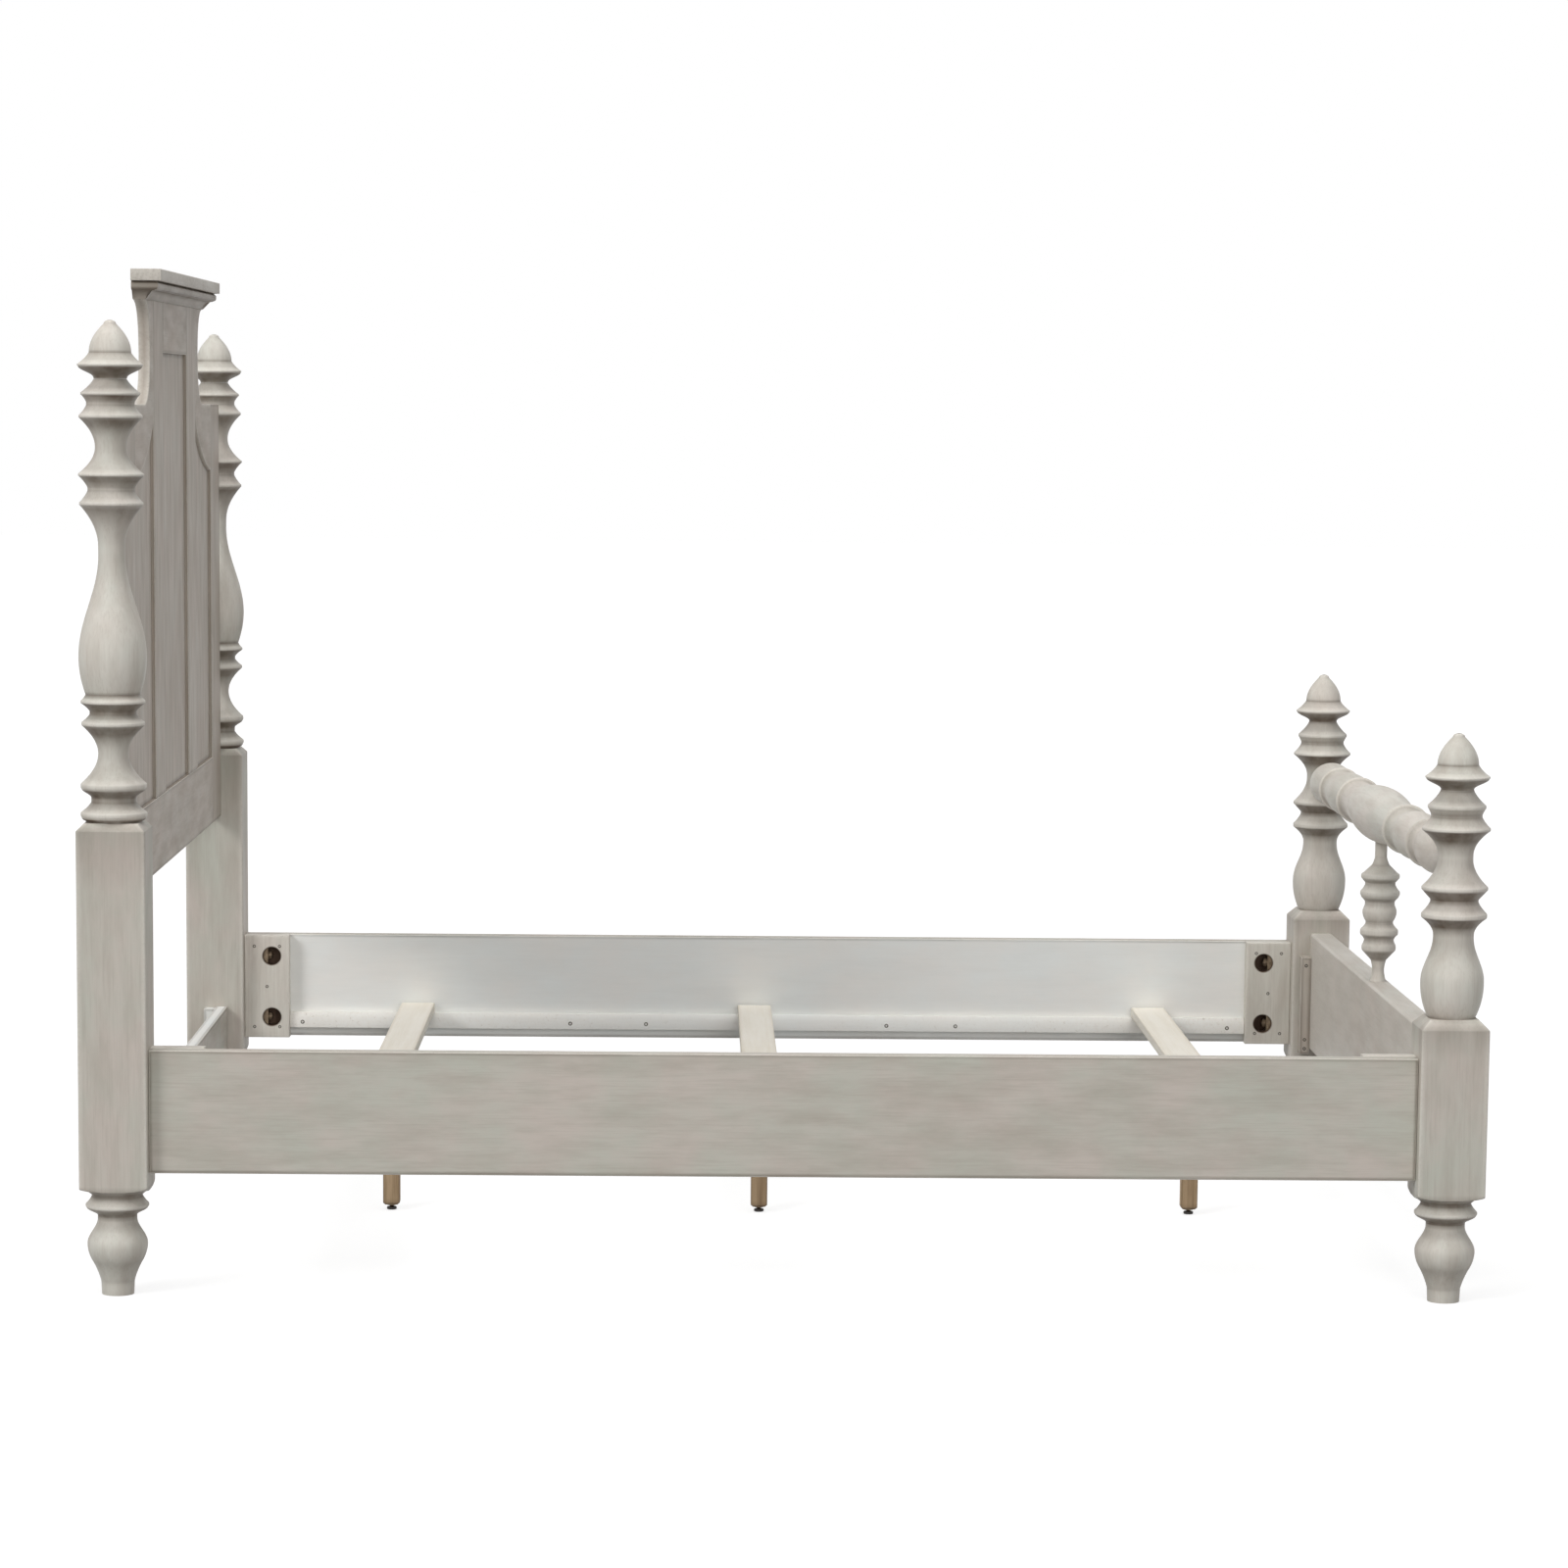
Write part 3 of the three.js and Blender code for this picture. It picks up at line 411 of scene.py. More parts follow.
def about(centre, axis="z", unit=1.0):
    """A function that gives the place at a radius, an angle and a height about an axis through a centre."""
    order = {"x": (2, 0, 1), "y": (0, 2, 1), "z": (0, 1, 2)}[axis]

    def place(radius, angle, height):
        parts = (radius * cos(angle) * unit, radius * sin(angle) * unit, height * unit)
        return tuple(middle + parts[i] for middle, i in zip(centre, order))

    return place


def rings(place, steps, angles):
    """Loops about an axis from steps of height, radius, glaze with painted shade, and wear with painted
    highlight.
    """
    return [[(place(radius, angle, height), glaze_and_shade, wear_and_highlight) for angle in angles]
            for height, radius, glaze_and_shade, wear_and_highlight in steps]


def turned(name, points, centre, axis="z", sides=TURNED_SIDES, amounts=POST_GLAZE_AND_SHADE):
    """A turned solid from points of height and radius, in millimetres, about an axis through a centre."""
    return loft(name, rings(about(centre, axis, MM), weathering(points, amounts), even_angles(sides)))


def block_loops(bottom, top, chamfer, angles, place):
    """The square block: its corners are turned off round below, and its faces are chamfered above."""
    corner = BLOCK_HALF * sqrt(2) + 1
    faces_top = top - chamfer
    straight_bottom = bottom + SHOULDER_RISE
    straight = faces_top - CHAMFER_EASE - straight_bottom
    sections = []
    for i in range(11):
        rise_share, radius_share = curve_shares("bulge", True, i / 10)
        envelope = BLOCK_HALF + (corner - BLOCK_HALF) * radius_share
        sections.append((bottom + SHOULDER_RISE * rise_share, 0, envelope))
    sections += [(straight_bottom + straight * i / 6, 0, corner) for i in range(1, 7)]
    sections.append((faces_top - CHAMFER_EASE * 0.2, CHAMFER_EASE * 0.15, corner))
    sections.append((faces_top + CHAMFER_EASE * 0.5, CHAMFER_EASE * 0.6, corner))
    sections += [(faces_top + chamfer * share, chamfer * share, corner) for share in (0.25, 0.6, 0.94, 1)]
    loops = []
    for height, inset, envelope in sections:
        edge = min(height - bottom, abs(faces_top - height))
        glaze_and_shade = BLOCK_EDGE_GLAZE[0] * max(0.0, 1 - edge / BLOCK_EDGE_GLAZE[1])
        loop = []
        for angle in angles:
            reach = min(square_radius(angle, BLOCK_HALF - inset), envelope)
            edge_mark = corner_share(angle) if reach < envelope else SHOULDER_MARK
            loop.append((place(reach, angle, height), glaze_and_shade, max(edge_mark, BLOCK_EDGE_MARK if edge < 1 else 0)))
        loops.append(loop)
    return loops


def post(end_name, side_name):
    node = f"{end_name}_post_{side_name}"
    centre = middle_of(node)
    place = about((centre.x, centre.y, 0), unit=MM)
    angles = post_angles()
    foot_points = turned_points(FOOT_START, TURNED_FOOT)
    block_bottom = foot_points[-1][0]
    start, turning = POST_TURNINGS[end_name]
    turning_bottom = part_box(node)[1].z / MM - total_rise(turning)
    upper_points = turned_points(start, turning, turning_bottom)

    def turned_loops(points):
        # A painted shadow under the square block, darkest at its bottom edge
        steps = [(height, radius, max(glaze_and_shade, 1 - abs(block_bottom - height) / UNDER_BLOCK_SHADOW), wear_and_highlight)
                 for height, radius, glaze_and_shade, wear_and_highlight in weathering(points)]
        return rings(place, steps, angles)

    block = block_loops(block_bottom, turning_bottom, BLOCK_CHAMFERS[end_name], angles, place)
    piece = loft(node + "_turned", turned_loops(foot_points) + block + turned_loops(upper_points))
    # The turned work takes a paler copy of the paint as painted light; the block's flat faces keep the plain
    # paint
    dress(piece, "turned_paint_z", node)
    paint_faces(piece, "painted_z", lambda middle, normal: block_bottom < middle.z / MM < turning_bottom)
    return upper_points


def finial(end_name, side_name):
    node = f"{end_name}_finial_{side_name}"
    centre = middle_of(node)
    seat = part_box(f"{end_name}_post_{side_name}")[1].z + SEAT_GAP
    post_end = POST_TURNINGS[end_name][1][-1]
    points = turned_points(post_end[1], FINIAL)
    dress(turned(node + "_turned", points, (centre.x, centre.y, seat)), "turned_paint_z", node)


def bar(post_points):
    """The heavy bar between the foot posts, coped to their coves."""
    centre = middle_of("footboard_bar")
    post_x = middle_of("foot_post_right").x
    taper = post_x / MM - BAR_END_SETBACK - total_rise(BAR_HALF)
    half = turned_points(BAR_MIDDLE_RADIUS, [*BAR_HALF, (taper, BAR_END_RADIUS, "wave")])
    points = [(-height, radius) for height, radius in reversed(half[1:])] + half
    piece = turned("footboard_bar_turned", points, (0, centre.y, centre.z), axis="x", amounts=BAR_GLAZE_AND_SHADE)
    for vertex in piece.data.vertices:
        aside = (vertex.co.y - centre.y) / MM
        reach = radius_at(post_points, vertex.co.z / MM)
        limit = post_x - sqrt(max(0.0, reach ** 2 - aside ** 2)) * MM - SEAT_GAP
        vertex.co.x = max(-limit, min(limit, vertex.co.x))
    dress(piece, "turned_paint_x", "footboard_bar")
    return centre.z - BAR_MIDDLE_RADIUS * MM


def spindle(underside):
    centre = middle_of("footboard_spindle")
    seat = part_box("footboard_panel")[1].z + SEAT_GAP
    neck = (underside - SEAT_GAP - seat) / MM - total_rise(SPINDLE)
    points = turned_points(SPINDLE_FOOT, [*SPINDLE, (neck, SPINDLE[-1][1], "line")])
    piece = turned("footboard_spindle_turned", points, (centre.x, centre.y, seat), amounts=SPINDLE_GLAZE_AND_SHADE)
    dress(piece, "turned_paint_z", "footboard_spindle")


# Boards

def edge_stops(low, high, round_by):
    """Places along one side of a board: a rounded edge, a rim and a plain middle."""
    length = high - low
    stops = [0, 0.3 * round_by, round_by]
    if length > 2 * RIM_WIDTH + round_by:
        stops.append(RIM_WIDTH)
    return [low + stop for stop in stops + [length - stop for stop in reversed(stops)]]


def whole_board(node, finish, round_by=EDGE_ROUND):
    """A board that fills its node's box, with rounded edges, worn along its rim and painted pale there as a
    highlight.
    """
    low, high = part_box(node)
    stops = [edge_stops(low[i], high[i], round_by) for i in range(3)]
    last = [len(axis) - 1 for axis in stops]
    index, points = {}, []

    def corner(key):
        if key not in index:
            raw = Vector(stops[i][key[i]] for i in range(3))
            inner = Vector(min(max(raw[i], low[i] + round_by), high[i] - round_by) for i in range(3))
            near = sorted(min(raw[i] - low[i], high[i] - raw[i]) for i in range(3))[1] / round_by
            marks = (0.0, 1.0) if near < 0.9 else (EDGE_GLAZE if near < 1.1 else 0.0, 0.0)
            index[key] = len(points)
            points.append((inner + (raw - inner).normalized() * round_by, *marks))
        return index[key]

    faces = []
    for axis in range(3):
        a, b = [other for other in range(3) if other != axis]
        for end in (0, last[axis]):
            for i in range(last[a]):
                for j in range(last[b]):
                    keys = []
                    for di, dj in ((0, 0), (1, 0), (1, 1), (0, 1)):
                        key = [0, 0, 0]
                        key[axis], key[a], key[b] = end, i + di, j + dj
                        keys.append(corner(tuple(key)))
                    faces.append(tuple(keys))
    name = node + "_board"
    piece = shaded(name, mesh_of(name, points, faces), BOARD_SHARP_DEGREES)
    return dress(piece, finish, node)


def quarter(start, stop, upright, steps=8):
    """A quarter turn from one point to another, which sets out upright or else level."""
    points = []
    for i in range(steps + 1):
        shares = curve_shares("bulge", upright, i / steps)
        points.append(tuple(a + (b - a) * share for a, b, share in zip(start, stop, shares)))
    return points


def inward(outline, distance):
    """A closed outline moved inwards by a distance; it runs anticlockwise."""
    moved = []
    for i, here in enumerate(outline):
        before = (here - outline[i - 1]).normalized()
        after = (outline[(i + 1) % len(outline)] - here).normalized()
        side = Vector((-before.y, before.x))
        normal = (side + Vector((-after.y, after.x))).normalized()
        lean = max(0.35, normal.dot(side))
        moved.append(here + normal * (distance / lean))
    return moved


def anticlockwise(outline):
    area = sum(outline[i - 1].x * p.y - p.x * outline[i - 1].y for i, p in enumerate(outline))
    return outline if area > 0 else outline[::-1]


def circle(centre, radius):
    return [Vector(centre) + radius * Vector((cos(a), sin(a))) for a in even_angles(POCKET_SIDES)]


def oblong(low, high):
    """The corners of an upright oblong."""
    return [low, (high[0], low[1]), high, (low[0], high[1])]


def cut_board(name, outline, near, far, axis="y", round_by=EDGE_ROUND, rim=RIM_WIDTH, holes=(), recess=0.0):
    """A board with a drawn outline and pockets through it, from near to far along an axis.

    recess is the depth from the outline to a line where glaze and painted shade lie on both faces."""
    outline = anticlockwise([Vector(p) for p in outline])
    builder = bmesh.new()
    glaze_layer = builder.verts.layers.float.new("glaze_and_shade")
    wear_layer = builder.verts.layers.float.new("wear_and_highlight")

    def put(loop, depth, glaze_and_shade, wear_and_highlight):
        made = []
        for p in loop:
            place = {"y": (p.x, depth, p.y), "x": (depth, p.x, p.y)}[axis]
            vertex = builder.verts.new(place)
            vertex[glaze_layer], vertex[wear_layer] = glaze_and_shade, wear_and_highlight
            made.append(vertex)
        return made

    def skin(loops):
        for one, two in zip(loops, loops[1:]):
            for i in range(len(one)):
                j = (i + 1) % len(one)
                builder.faces.new((one[i], one[j], two[j], two[i]))

    stations = [(rim, near, 0.0, 0.0)] + ([(recess, near, RECESS_GLAZE_AND_SHADE, 0.0)] if recess else [])
    stations.append((round_by, near, 0.0, 0.6))
    for turn in map(radians, (30, 60, 90)):
        stations.append((round_by * (1 - sin(turn)), near + round_by * (1 - cos(turn)), 0.0, 1.0))
    stations.append((0, (near + far) / 2, 0.0, 0.15))
    stations += [(inset, near + far - depth, *marks) for inset, depth, *marks in reversed(stations[:-1])]
    skins = [put(inward(outline, inset), depth, *marks) for inset, depth, *marks in stations]
    skin(skins)
    hole_skins = []
    rim_steps = [(POCKET_HALO, 0.0, 0.0), (POCKET_CHAMFER, 0.0, 0.7), (0.0, POCKET_CHAMFER, 0.9)]
    walls = [(wider, near + depth, glaze_and_shade) for wider, depth, glaze_and_shade in rim_steps]
    walls += [(wider, far - depth, glaze_and_shade) for wider, depth, glaze_and_shade in reversed(rim_steps)]
    for centre in holes:
        made = [put(circle(centre, POCKET_RADIUS + wider), depth, glaze_and_shade, 0.0) for wider, depth, glaze_and_shade in walls]
        skin(made)
        hole_skins.append(made)
    for place in (0, -1):
        edges = []
        for loop in [skins[place]] + [made[place] for made in hole_skins]:
            edges += [builder.edges.get((loop[i - 1], loop[i])) for i in range(len(loop))]
        bmesh.ops.triangle_fill(builder, use_beauty=True, edges=edges)
    return shaded(name, written(name, builder), BOARD_SHARP_DEGREES)


def dress(piece, finish, node=None, body="frame"):
    """Gives a piece its material and the body it rides on, and hides the part of model.glb that it stands for.
    """
    piece.data.materials.append(FINISHES[finish])
    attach(piece, body)
    if node:
        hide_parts(node)
    return piece


def paint_faces(piece, finish, chosen):
    """A second material on the faces that a test picks by their middle and normal."""
    piece.data.materials.append(FINISHES[finish])
    number = len(piece.data.materials) - 1
    for face in piece.data.polygons:
        if chosen(face.center, face.normal):
            face.material_index = number


# Rails

def rail_parts(side_name, side):
    rail = whole_board(f"side_rail_{side_name}", "painted_y", SOFT_ROUND)
    # The inner face takes the paler paint, partly as painted light for a face that lies in shade
    paint_faces(rail, "inner_paint_y", lambda centre, normal: normal.x * side < -0.7)

    node = f"ledger_{side_name}"
    low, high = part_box(node)
    inner, outer = (low.x, high.x) if side > 0 else (high.x, low.x)
    outline = [(inner, low.z), (outer, low.z), (outer, high.z), (inner + side * LEDGER_CHAMFER_DEPTH, high.z),
               (inner, high.z - LEDGER_CHAMFER_DROP)]
    dress(cut_board(node + "_board", outline, low.y, high.y, rim=LEDGER_RIM), "inner_paint_y", node)
    seats = [(inner, place, (low.z + high.z) / 2 - LEDGER_SCREW_DROP) for place in LEDGER_SCREW_PLACES]
    screws(f"ledger_screws_{side_name}", seats, (-side, 0, 0), LEDGER_SCREW_RADIUS)


def end_block(end_name, end, side_name, side):
    node = f"rail_end_block_{end_name}_{side_name}"
    low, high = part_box(node)
    post_face = high.y + SEAT_GAP if end > 0 else low.y - SEAT_GAP
    pocket_y = post_face - end * POCKET_FROM_POST
    middle = (low.z + high.z) / 2
    heights = [middle - POCKET_SPACING / 2, middle + POCKET_SPACING / 2]
    block = cut_board(node + "_board", oblong(low.yz, high.yz), low.x, high.x, axis="x",
                      holes=[(pocket_y, height) for height in heights])
    # The end block takes the paler copy of the paint, as painted light
    dress(block, "turned_paint_z", node)

    def in_pocket(centre, normal):
        near = min(hypot(centre.y - pocket_y, centre.z - height) for height in heights)
        return near < POCKET_RADIUS + 0.2 * MM and abs(normal.x) < 0.5

    paint_faces(block, "pocket_wood", in_pocket)
    pocket_floors(node, side, pocket_y, heights)
    inner = low.x if side > 0 else high.x
    block_middle = (low.y + high.y) / 2
    offsets = [(dy * BLOCK_SCREW_ALONG, dz * BLOCK_SCREW_UP) for dy in (-1, 1) for dz in (-1, 1)] + [(0, 0)]
    seats = [(inner, block_middle + dy, middle + dz) for dy, dz in offsets]
    screws(node + "_screws", seats, (-side, 0, 0), BLOCK_SCREW_RADIUS)
    for place, height in zip(("lower", "upper"), heights):
        bolt = f"rail_bolt_{end_name}_{side_name}_{place}"
        rail_bolt(bolt, end, (low.x + high.x) / 2, post_face, pocket_y, height)


def pocket_floors(node, side, pocket_y, heights):
    """The unpainted wood of the rail that shows through the pockets."""
    low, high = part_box(node)
    floor_x = (high.x if side > 0 else low.x) - side * 0.6 * MM
    inner, outer = POCKET_RADIUS * 0.6, POCKET_RADIUS - 0.1 * MM
    corners = ((0.0, inner), (0.0, outer), (0.5 * MM, outer), (0.5 * MM, inner))
    steps = [(side * depth, radius, 0.6, 0.0) for depth, radius in corners]
    discs = [loft("disc", rings(about((floor_x, pocket_y, height), "x"), steps, even_angles(POCKET_SIDES)))
             for height in heights]
    dress(joined(node + "_pocket_floors", discs), "pocket_wood")


def rail_bolt(node, end, x, post_face, pocket_y, height):
    """A bolt with its half-moon washer and hexagon nut."""
    place = about((x, 0, height), "y")
    start = pocket_y - end * BOLT_PAST_MIDDLE
    steps = []
    for i in range(THREADS * 4 + 1):
        radius = BOLT_RADIUS - (0.0 if i % 4 in (1, 2) else THREAD_DEPTH)
        steps.append((start + end * THREAD_PITCH * i / 4, radius, 0.3, 0.0))
    steps.append((post_face + end * BOLT_DEPTH_IN_POST, BOLT_RADIUS, 0.0, 0.0))
    stud = loft("stud", rings(place, steps, even_angles(24)))

    flat = pocket_y + end * WASHER_FLAT
    corner = NUT_ACROSS_FLATS / sqrt(3)
    limits = (corner * 0.9, corner, corner, corner * 0.9)
    loops = []
    for depth, limit in zip((0, NUT_BEVEL, NUT_THICKNESS - NUT_BEVEL, NUT_THICKNESS), limits):
        loop = []
        for angle in even_angles(48):
            reach = NUT_ACROSS_FLATS / 2 / cos((angle % (pi / 3)) - pi / 6)
            loop.append((place(min(reach, limit), angle, flat - end * depth), 0.2, 0.4))
        loops.append(loop)
    nut = loft("nut", loops, sharp_degrees=NUT_SHARP_DEGREES)

    radius = POCKET_RADIUS - SEAT_GAP
    half_angle = acos(WASHER_FLAT / radius)
    arc = [half_angle * (2 * i / 16 - 1) for i in range(17)]
    outline = [(pocket_y + end * radius * cos(a), height + radius * sin(a)) for a in arc]
    washer = cut_board("washer", outline, x - WASHER_WIDTH / 2, x + WASHER_WIDTH / 2, axis="x",
                       round_by=0.6 * MM, rim=1.5 * MM)
    dress(joined(node + "_set", [stud, nut, washer]), "plated_steel", node)


def screws(name, seats, facing, radius):
    """Countersunk cross-head screws, set a little below the face that they stand in."""
    turn = Vector(facing).to_track_quat("Z", "Y").to_matrix()
    made = []
    for number, seat in enumerate(map(Vector, seats)):
        spin = Matrix.Rotation(number * 1.1, 3, "Z")
        loops = []
        for share, skirt in (*((share, 0.0) for share in SCREW_SHARES), (1.0, SCREW_SKIRT)):
            loop = []
            for angle in even_angles(SCREW_SIDES):
                spot = Vector((share * radius * cos(angle), share * radius * sin(angle), 0))
                in_slot = min(abs(spot.x), abs(spot.y)) < 0.15 * radius and share < 0.6
                spot.z = SCREW_DOME * (1 - share ** 2) - (SCREW_SLOT if in_slot else skirt)
                loop.append((seat + turn @ (spin @ spot), 1.0 if in_slot or skirt else 0.2, 0.0))
            loops.append(loop)
        made.append(loft("screw", loops))
    dress(joined(name, made), "screw_steel")


# Slats, legs and glides

def slat_parts(place):
    whole_board(f"slat_{place}", "slat_wood", SLAT_ROUND)

    node = f"slat_leg_{place}"
    low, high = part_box(node)
    half = (high.x - low.x) / 2
    narrow = half - LEG_CHAMFER
    centre = middle_of(node)
    at = about((centre.x, centre.y, 0))
    steps = [(low.z, narrow, 0.8), (low.z + 0.5 * MM, narrow + 0.5 * MM, 0.8),
             (low.z + LEG_CHAMFER, half, 0.5), (low.z + LEG_CHAMFER * 3, half, 0.1),
             (high.z - 10 * MM, half, 0.0), (high.z, half, 0.0)]
    loops = [[(at(square_radius(angle, half), angle, height), glaze_and_shade, corner_share(angle))
              for angle in even_angles(TURNED_SIDES)] for height, half, glaze_and_shade in steps]
    dress(loft(node + "_wood", loops), "leg_wood", node)

    node = f"leg_insert_{place}"
    low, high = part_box(node)
    flange, barrel, bore, ease = 9 * MM, 6.5 * MM, 4.3 * MM, 0.4 * MM
    flange_top = low.z + 1.5 * MM
    section = [(bore, low.z), (flange - ease, low.z), (flange, low.z + ease), (flange, flange_top),
               (barrel, flange_top), (barrel, high.z), (bore, high.z)]
    loops = [[(at(radius, angle, height), 0.0, 0.0) for radius, height in section] for angle in even_angles(48)]
    dress(loft(node + "_turned", loops, wrap=True), "plated_steel", node)

    node = f"leg_glide_{place}"
    low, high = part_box(node)
    pad, pad_thickness, stem, step = 9.0, 5.0, 4.0, 0.65
    outline = [(1.5, pad, "bulge"), (pad_thickness - 2.5, pad, "line"), (1.0, pad - 1.0, "bulge"),
               (0.2, stem + 1, "line")]
    points = turned_points(pad - 1.5, outline)
    top = (high.z - low.z) / MM
    height, crest = points[-1][0], True
    while height < top - 1.4:
        points.append((height, stem if crest else stem - 0.5))
        height, crest = height + step, not crest
    points.append((top, stem - 0.8))
    glide = turned(node + "_turned", points, (centre.x, centre.y, low.z), sides=40)
    dress(glide, "plated_steel", node, f"glide_{place}")
    pad_top = low.z + (pad_thickness + 0.4) * MM
    paint_faces(glide, "glide_nylon", lambda middle, normal: middle.z < pad_top)


# Headboard

def arch_points(inner_x, outer_x, outer_z):
    """The underside of the arch over a side bay, from the mullion to the outer stile."""
    inner = Vector((inner_x, outer_z + ARCH_RISE))
    outer = Vector((outer_x, outer_z))
    inner_pull = inner + Vector((ARCH_INNER_PULL[0], -ARCH_INNER_PULL[1]))
    outer_pull = outer + Vector((-ARCH_OUTER_PULL[0], ARCH_OUTER_PULL[1]))
    return interpolate_bezier(inner, inner_pull, outer_pull, outer, 27)


def top_rail_outline(low, high, shoulder):
    """The board over the right side bay: arched below, with a notch and a flared horn above."""
    neck_z = shoulder + NOTCH_RISE
    notch_outer = high.x - SHOULDER_LENGTH
    neck = notch_outer - NOTCH_DEPTH
    horn = neck + FLARE_OUT
    points = [*arch_points(low.x, high.x, low.z), (high.x, shoulder)]
    points += quarter((notch_outer, shoulder), (neck, neck_z), False, 18)
    for i in range(1, 17):
        t = i / 16
        rise = (high.z - FLARE_BELOW_TOP - neck_z) * (2 * t * (1 - t) * FLARE_TURN + t * t)
        points.append((neck + FLARE_OUT * t * t, neck_z + rise))
    return points + [(horn, high.z), (low.x, high.z)], horn


def mirrored(points, side):
    return [(side * x, z) for x, z in points]


def headboard():
    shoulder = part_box("headboard_stile_right")[1].z
    low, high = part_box("headboard_top_rail_right")
    outline, horn = top_rail_outline(low, high, shoulder)
    panel_low, panel_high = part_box("headboard_panel_right")
    arch = arch_points(panel_low.x + 2 * PANEL_TONGUE, panel_high.x, panel_high.z - ARCH_RISE)
    bay = [panel_low.xz, (panel_high.x, panel_low.z), *arch[::-1], (panel_low.x, panel_high.z)]
    # The headboard's boards and panels take a darker copy of the paint, as painted shade on their faces that
    # look to the foot
    whole_board("headboard_bottom_rail", "front_paint_x")
    whole_board("headboard_centre_top_rail", "front_paint_x")
    for side_name, side in SIDES:
        whole_board(f"headboard_stile_{side_name}", "front_paint_z")
        whole_board(f"headboard_mullion_{side_name}", "front_paint_z")
        node = f"headboard_top_rail_{side_name}"
        dress(cut_board(node + "_board", mirrored(outline, side), low.y, high.y), "front_paint_x", node)
        panel(f"headboard_panel_{side_name}", mirrored(bay, side))
    low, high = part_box("headboard_panel_centre")
    panel("headboard_panel_centre", oblong(low.xz, high.xz))
    return horn


def panel(node, outline):
    """A thin panel whose tongue lies in the frame's grooves, with glaze and painted shade along the recess."""
    low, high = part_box(node)
    piece = cut_board(node + "_board", outline, low.y, high.y, round_by=0.5 * MM, rim=PANEL_TONGUE + 9 * MM,
                      recess=PANEL_TONGUE)
    dress(piece, "front_paint_z", node)


# Crown

def crown(horn):
    """The cap and its mouldings, whose reach is taken from the board's front and from the horns."""
    board_low, board_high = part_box("headboard_centre_top_rail")
    front, back, top = board_low.y, board_high.y, board_high.z
    cap_low, cap_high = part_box("crown_cap")
    middle = (cap_low.z + cap_high.z) / 2
    flat = CROWN_REACH - CAP_EDGE_ROUND
    section = quarter((flat, cap_low.z), (CROWN_REACH, cap_low.z + CAP_EDGE_ROUND), False, 3)
    section += quarter((flat, cap_high.z), (CROWN_REACH, cap_high.z - CAP_EDGE_ROUND), False, 3)[::-1]
    section = [(flat - CAP_LIP, cap_low.z), *section, (flat - CAP_LIP, cap_high.z)]
    loops = []
    for reach, height in section:
        x, y = horn + reach, front - reach
        wear_and_highlight = 1.0 if reach > flat - 0.1 * MM and abs(height - middle) > CAP_UNWORN else 0.0
        end = [(x, y), (x, (y + back) / 2), (x, back)]
        places = [(-px, py) for px, py in end[::-1]] + [(x * i / 8, y) for i in range(-7, 8)] + end
        loops.append([((px, py, height), 0.0, wear_and_highlight) for px, py in places])
    # The cap and mouldings take a darker copy of the paint, as painted shade
    dress(loft("crown_cap_board", loops), "crown_paint_x", "crown_cap")

    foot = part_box("crown_moulding_front")[0].z
    bead = CROWN_REACH - CROWN_GROOVE
    cove = bead - COVE_INSET
    cove_top = foot + COVE_HEIGHT
    round_foot = cove_top + MOULDING_STEP
    profile = quarter((MOULDING_FOOT_REACH, foot), (cove, cove_top), True)
    profile += quarter((cove + MOULDING_STEP, round_foot), (bead, round_foot + ROUND_HEIGHT), False)
    profile += [(bead, top - TOP_BEVEL), (bead - TOP_BEVEL, top)]
    marked = []
    for reach, height in profile:
        # Glaze with painted shade in the step between cove and round, and right under the cap
        glaze_and_shade = max(0.0, 1 - abs(height - round_foot) / GROOVE_GLAZE_AND_SHADE, 1 - (top - height) / GROOVE_GLAZE_AND_SHADE)
        marked.append((reach, height, glaze_and_shade))

    def run(node, finish, gap, shares, place):
        closed = marked + [(gap, top, 0.0), (gap, foot, 0.0)]
        loops = [[(place(reach, height, share), glaze_and_shade, 0.0) for reach, height, glaze_and_shade in closed]
                 for share in shares]
        dress(loft(node + "_run", loops), finish, node)

    run("crown_moulding_front", "crown_paint_x", FRONT_GAP, (-1, -0.96, -0.5, 0, 0.5, 0.96, 1),
        lambda reach, height, share: (share * (horn + reach), front - reach, height))
    for side_name, side in SIDES:
        def beside(reach, height, share):
            start = front - max(reach, FRONT_GAP)
            return side * (horn + reach), start + (back - start) * share, height

        run(f"crown_moulding_{side_name}", "crown_paint_y", SEAT_GAP, (0, 0.3, 0.7, 1), beside)


# Footboard and stretcher

def foot_panel():
    node = "footboard_panel"
    low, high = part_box(node)
    round_foot = high.z - FOOT_PANEL_ROUND
    outline = [(low.y, low.z), (high.y, low.z)]
    outline += quarter((high.y, round_foot), (high.y - FOOT_PANEL_ROUND, high.z), True, 6)
    outline += quarter((low.y + FOOT_PANEL_ROUND, high.z), (low.y, round_foot), False, 6)
    piece = cut_board(node + "_board", outline, low.x, high.x, axis="x", round_by=0.8 * MM, rim=3 * MM)
    dress(piece, "panel_paint", node)
    # Painted highlight: the panel's top faces take the paler copy of the paint
    paint_faces(piece, "turned_paint_x", lambda centre, normal: normal.z > 0.3)
    for side_name, side in SIDES:
        cleat = f"footboard_cleat_{side_name}"
        # The cleat takes a copy of the paint toned for the shade that it stands in
        whole_board(cleat, "cleat_paint")
        low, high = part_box(cleat)
        face = low.x if side > 0 else high.x
        seats = [(face, (low.y + high.y) / 2, height) for height in FOOT_CLEAT_SCREW_HEIGHTS]
        screws(cleat + "_screws", seats, (-side, 0, 0), CLEAT_SCREW_RADIUS)


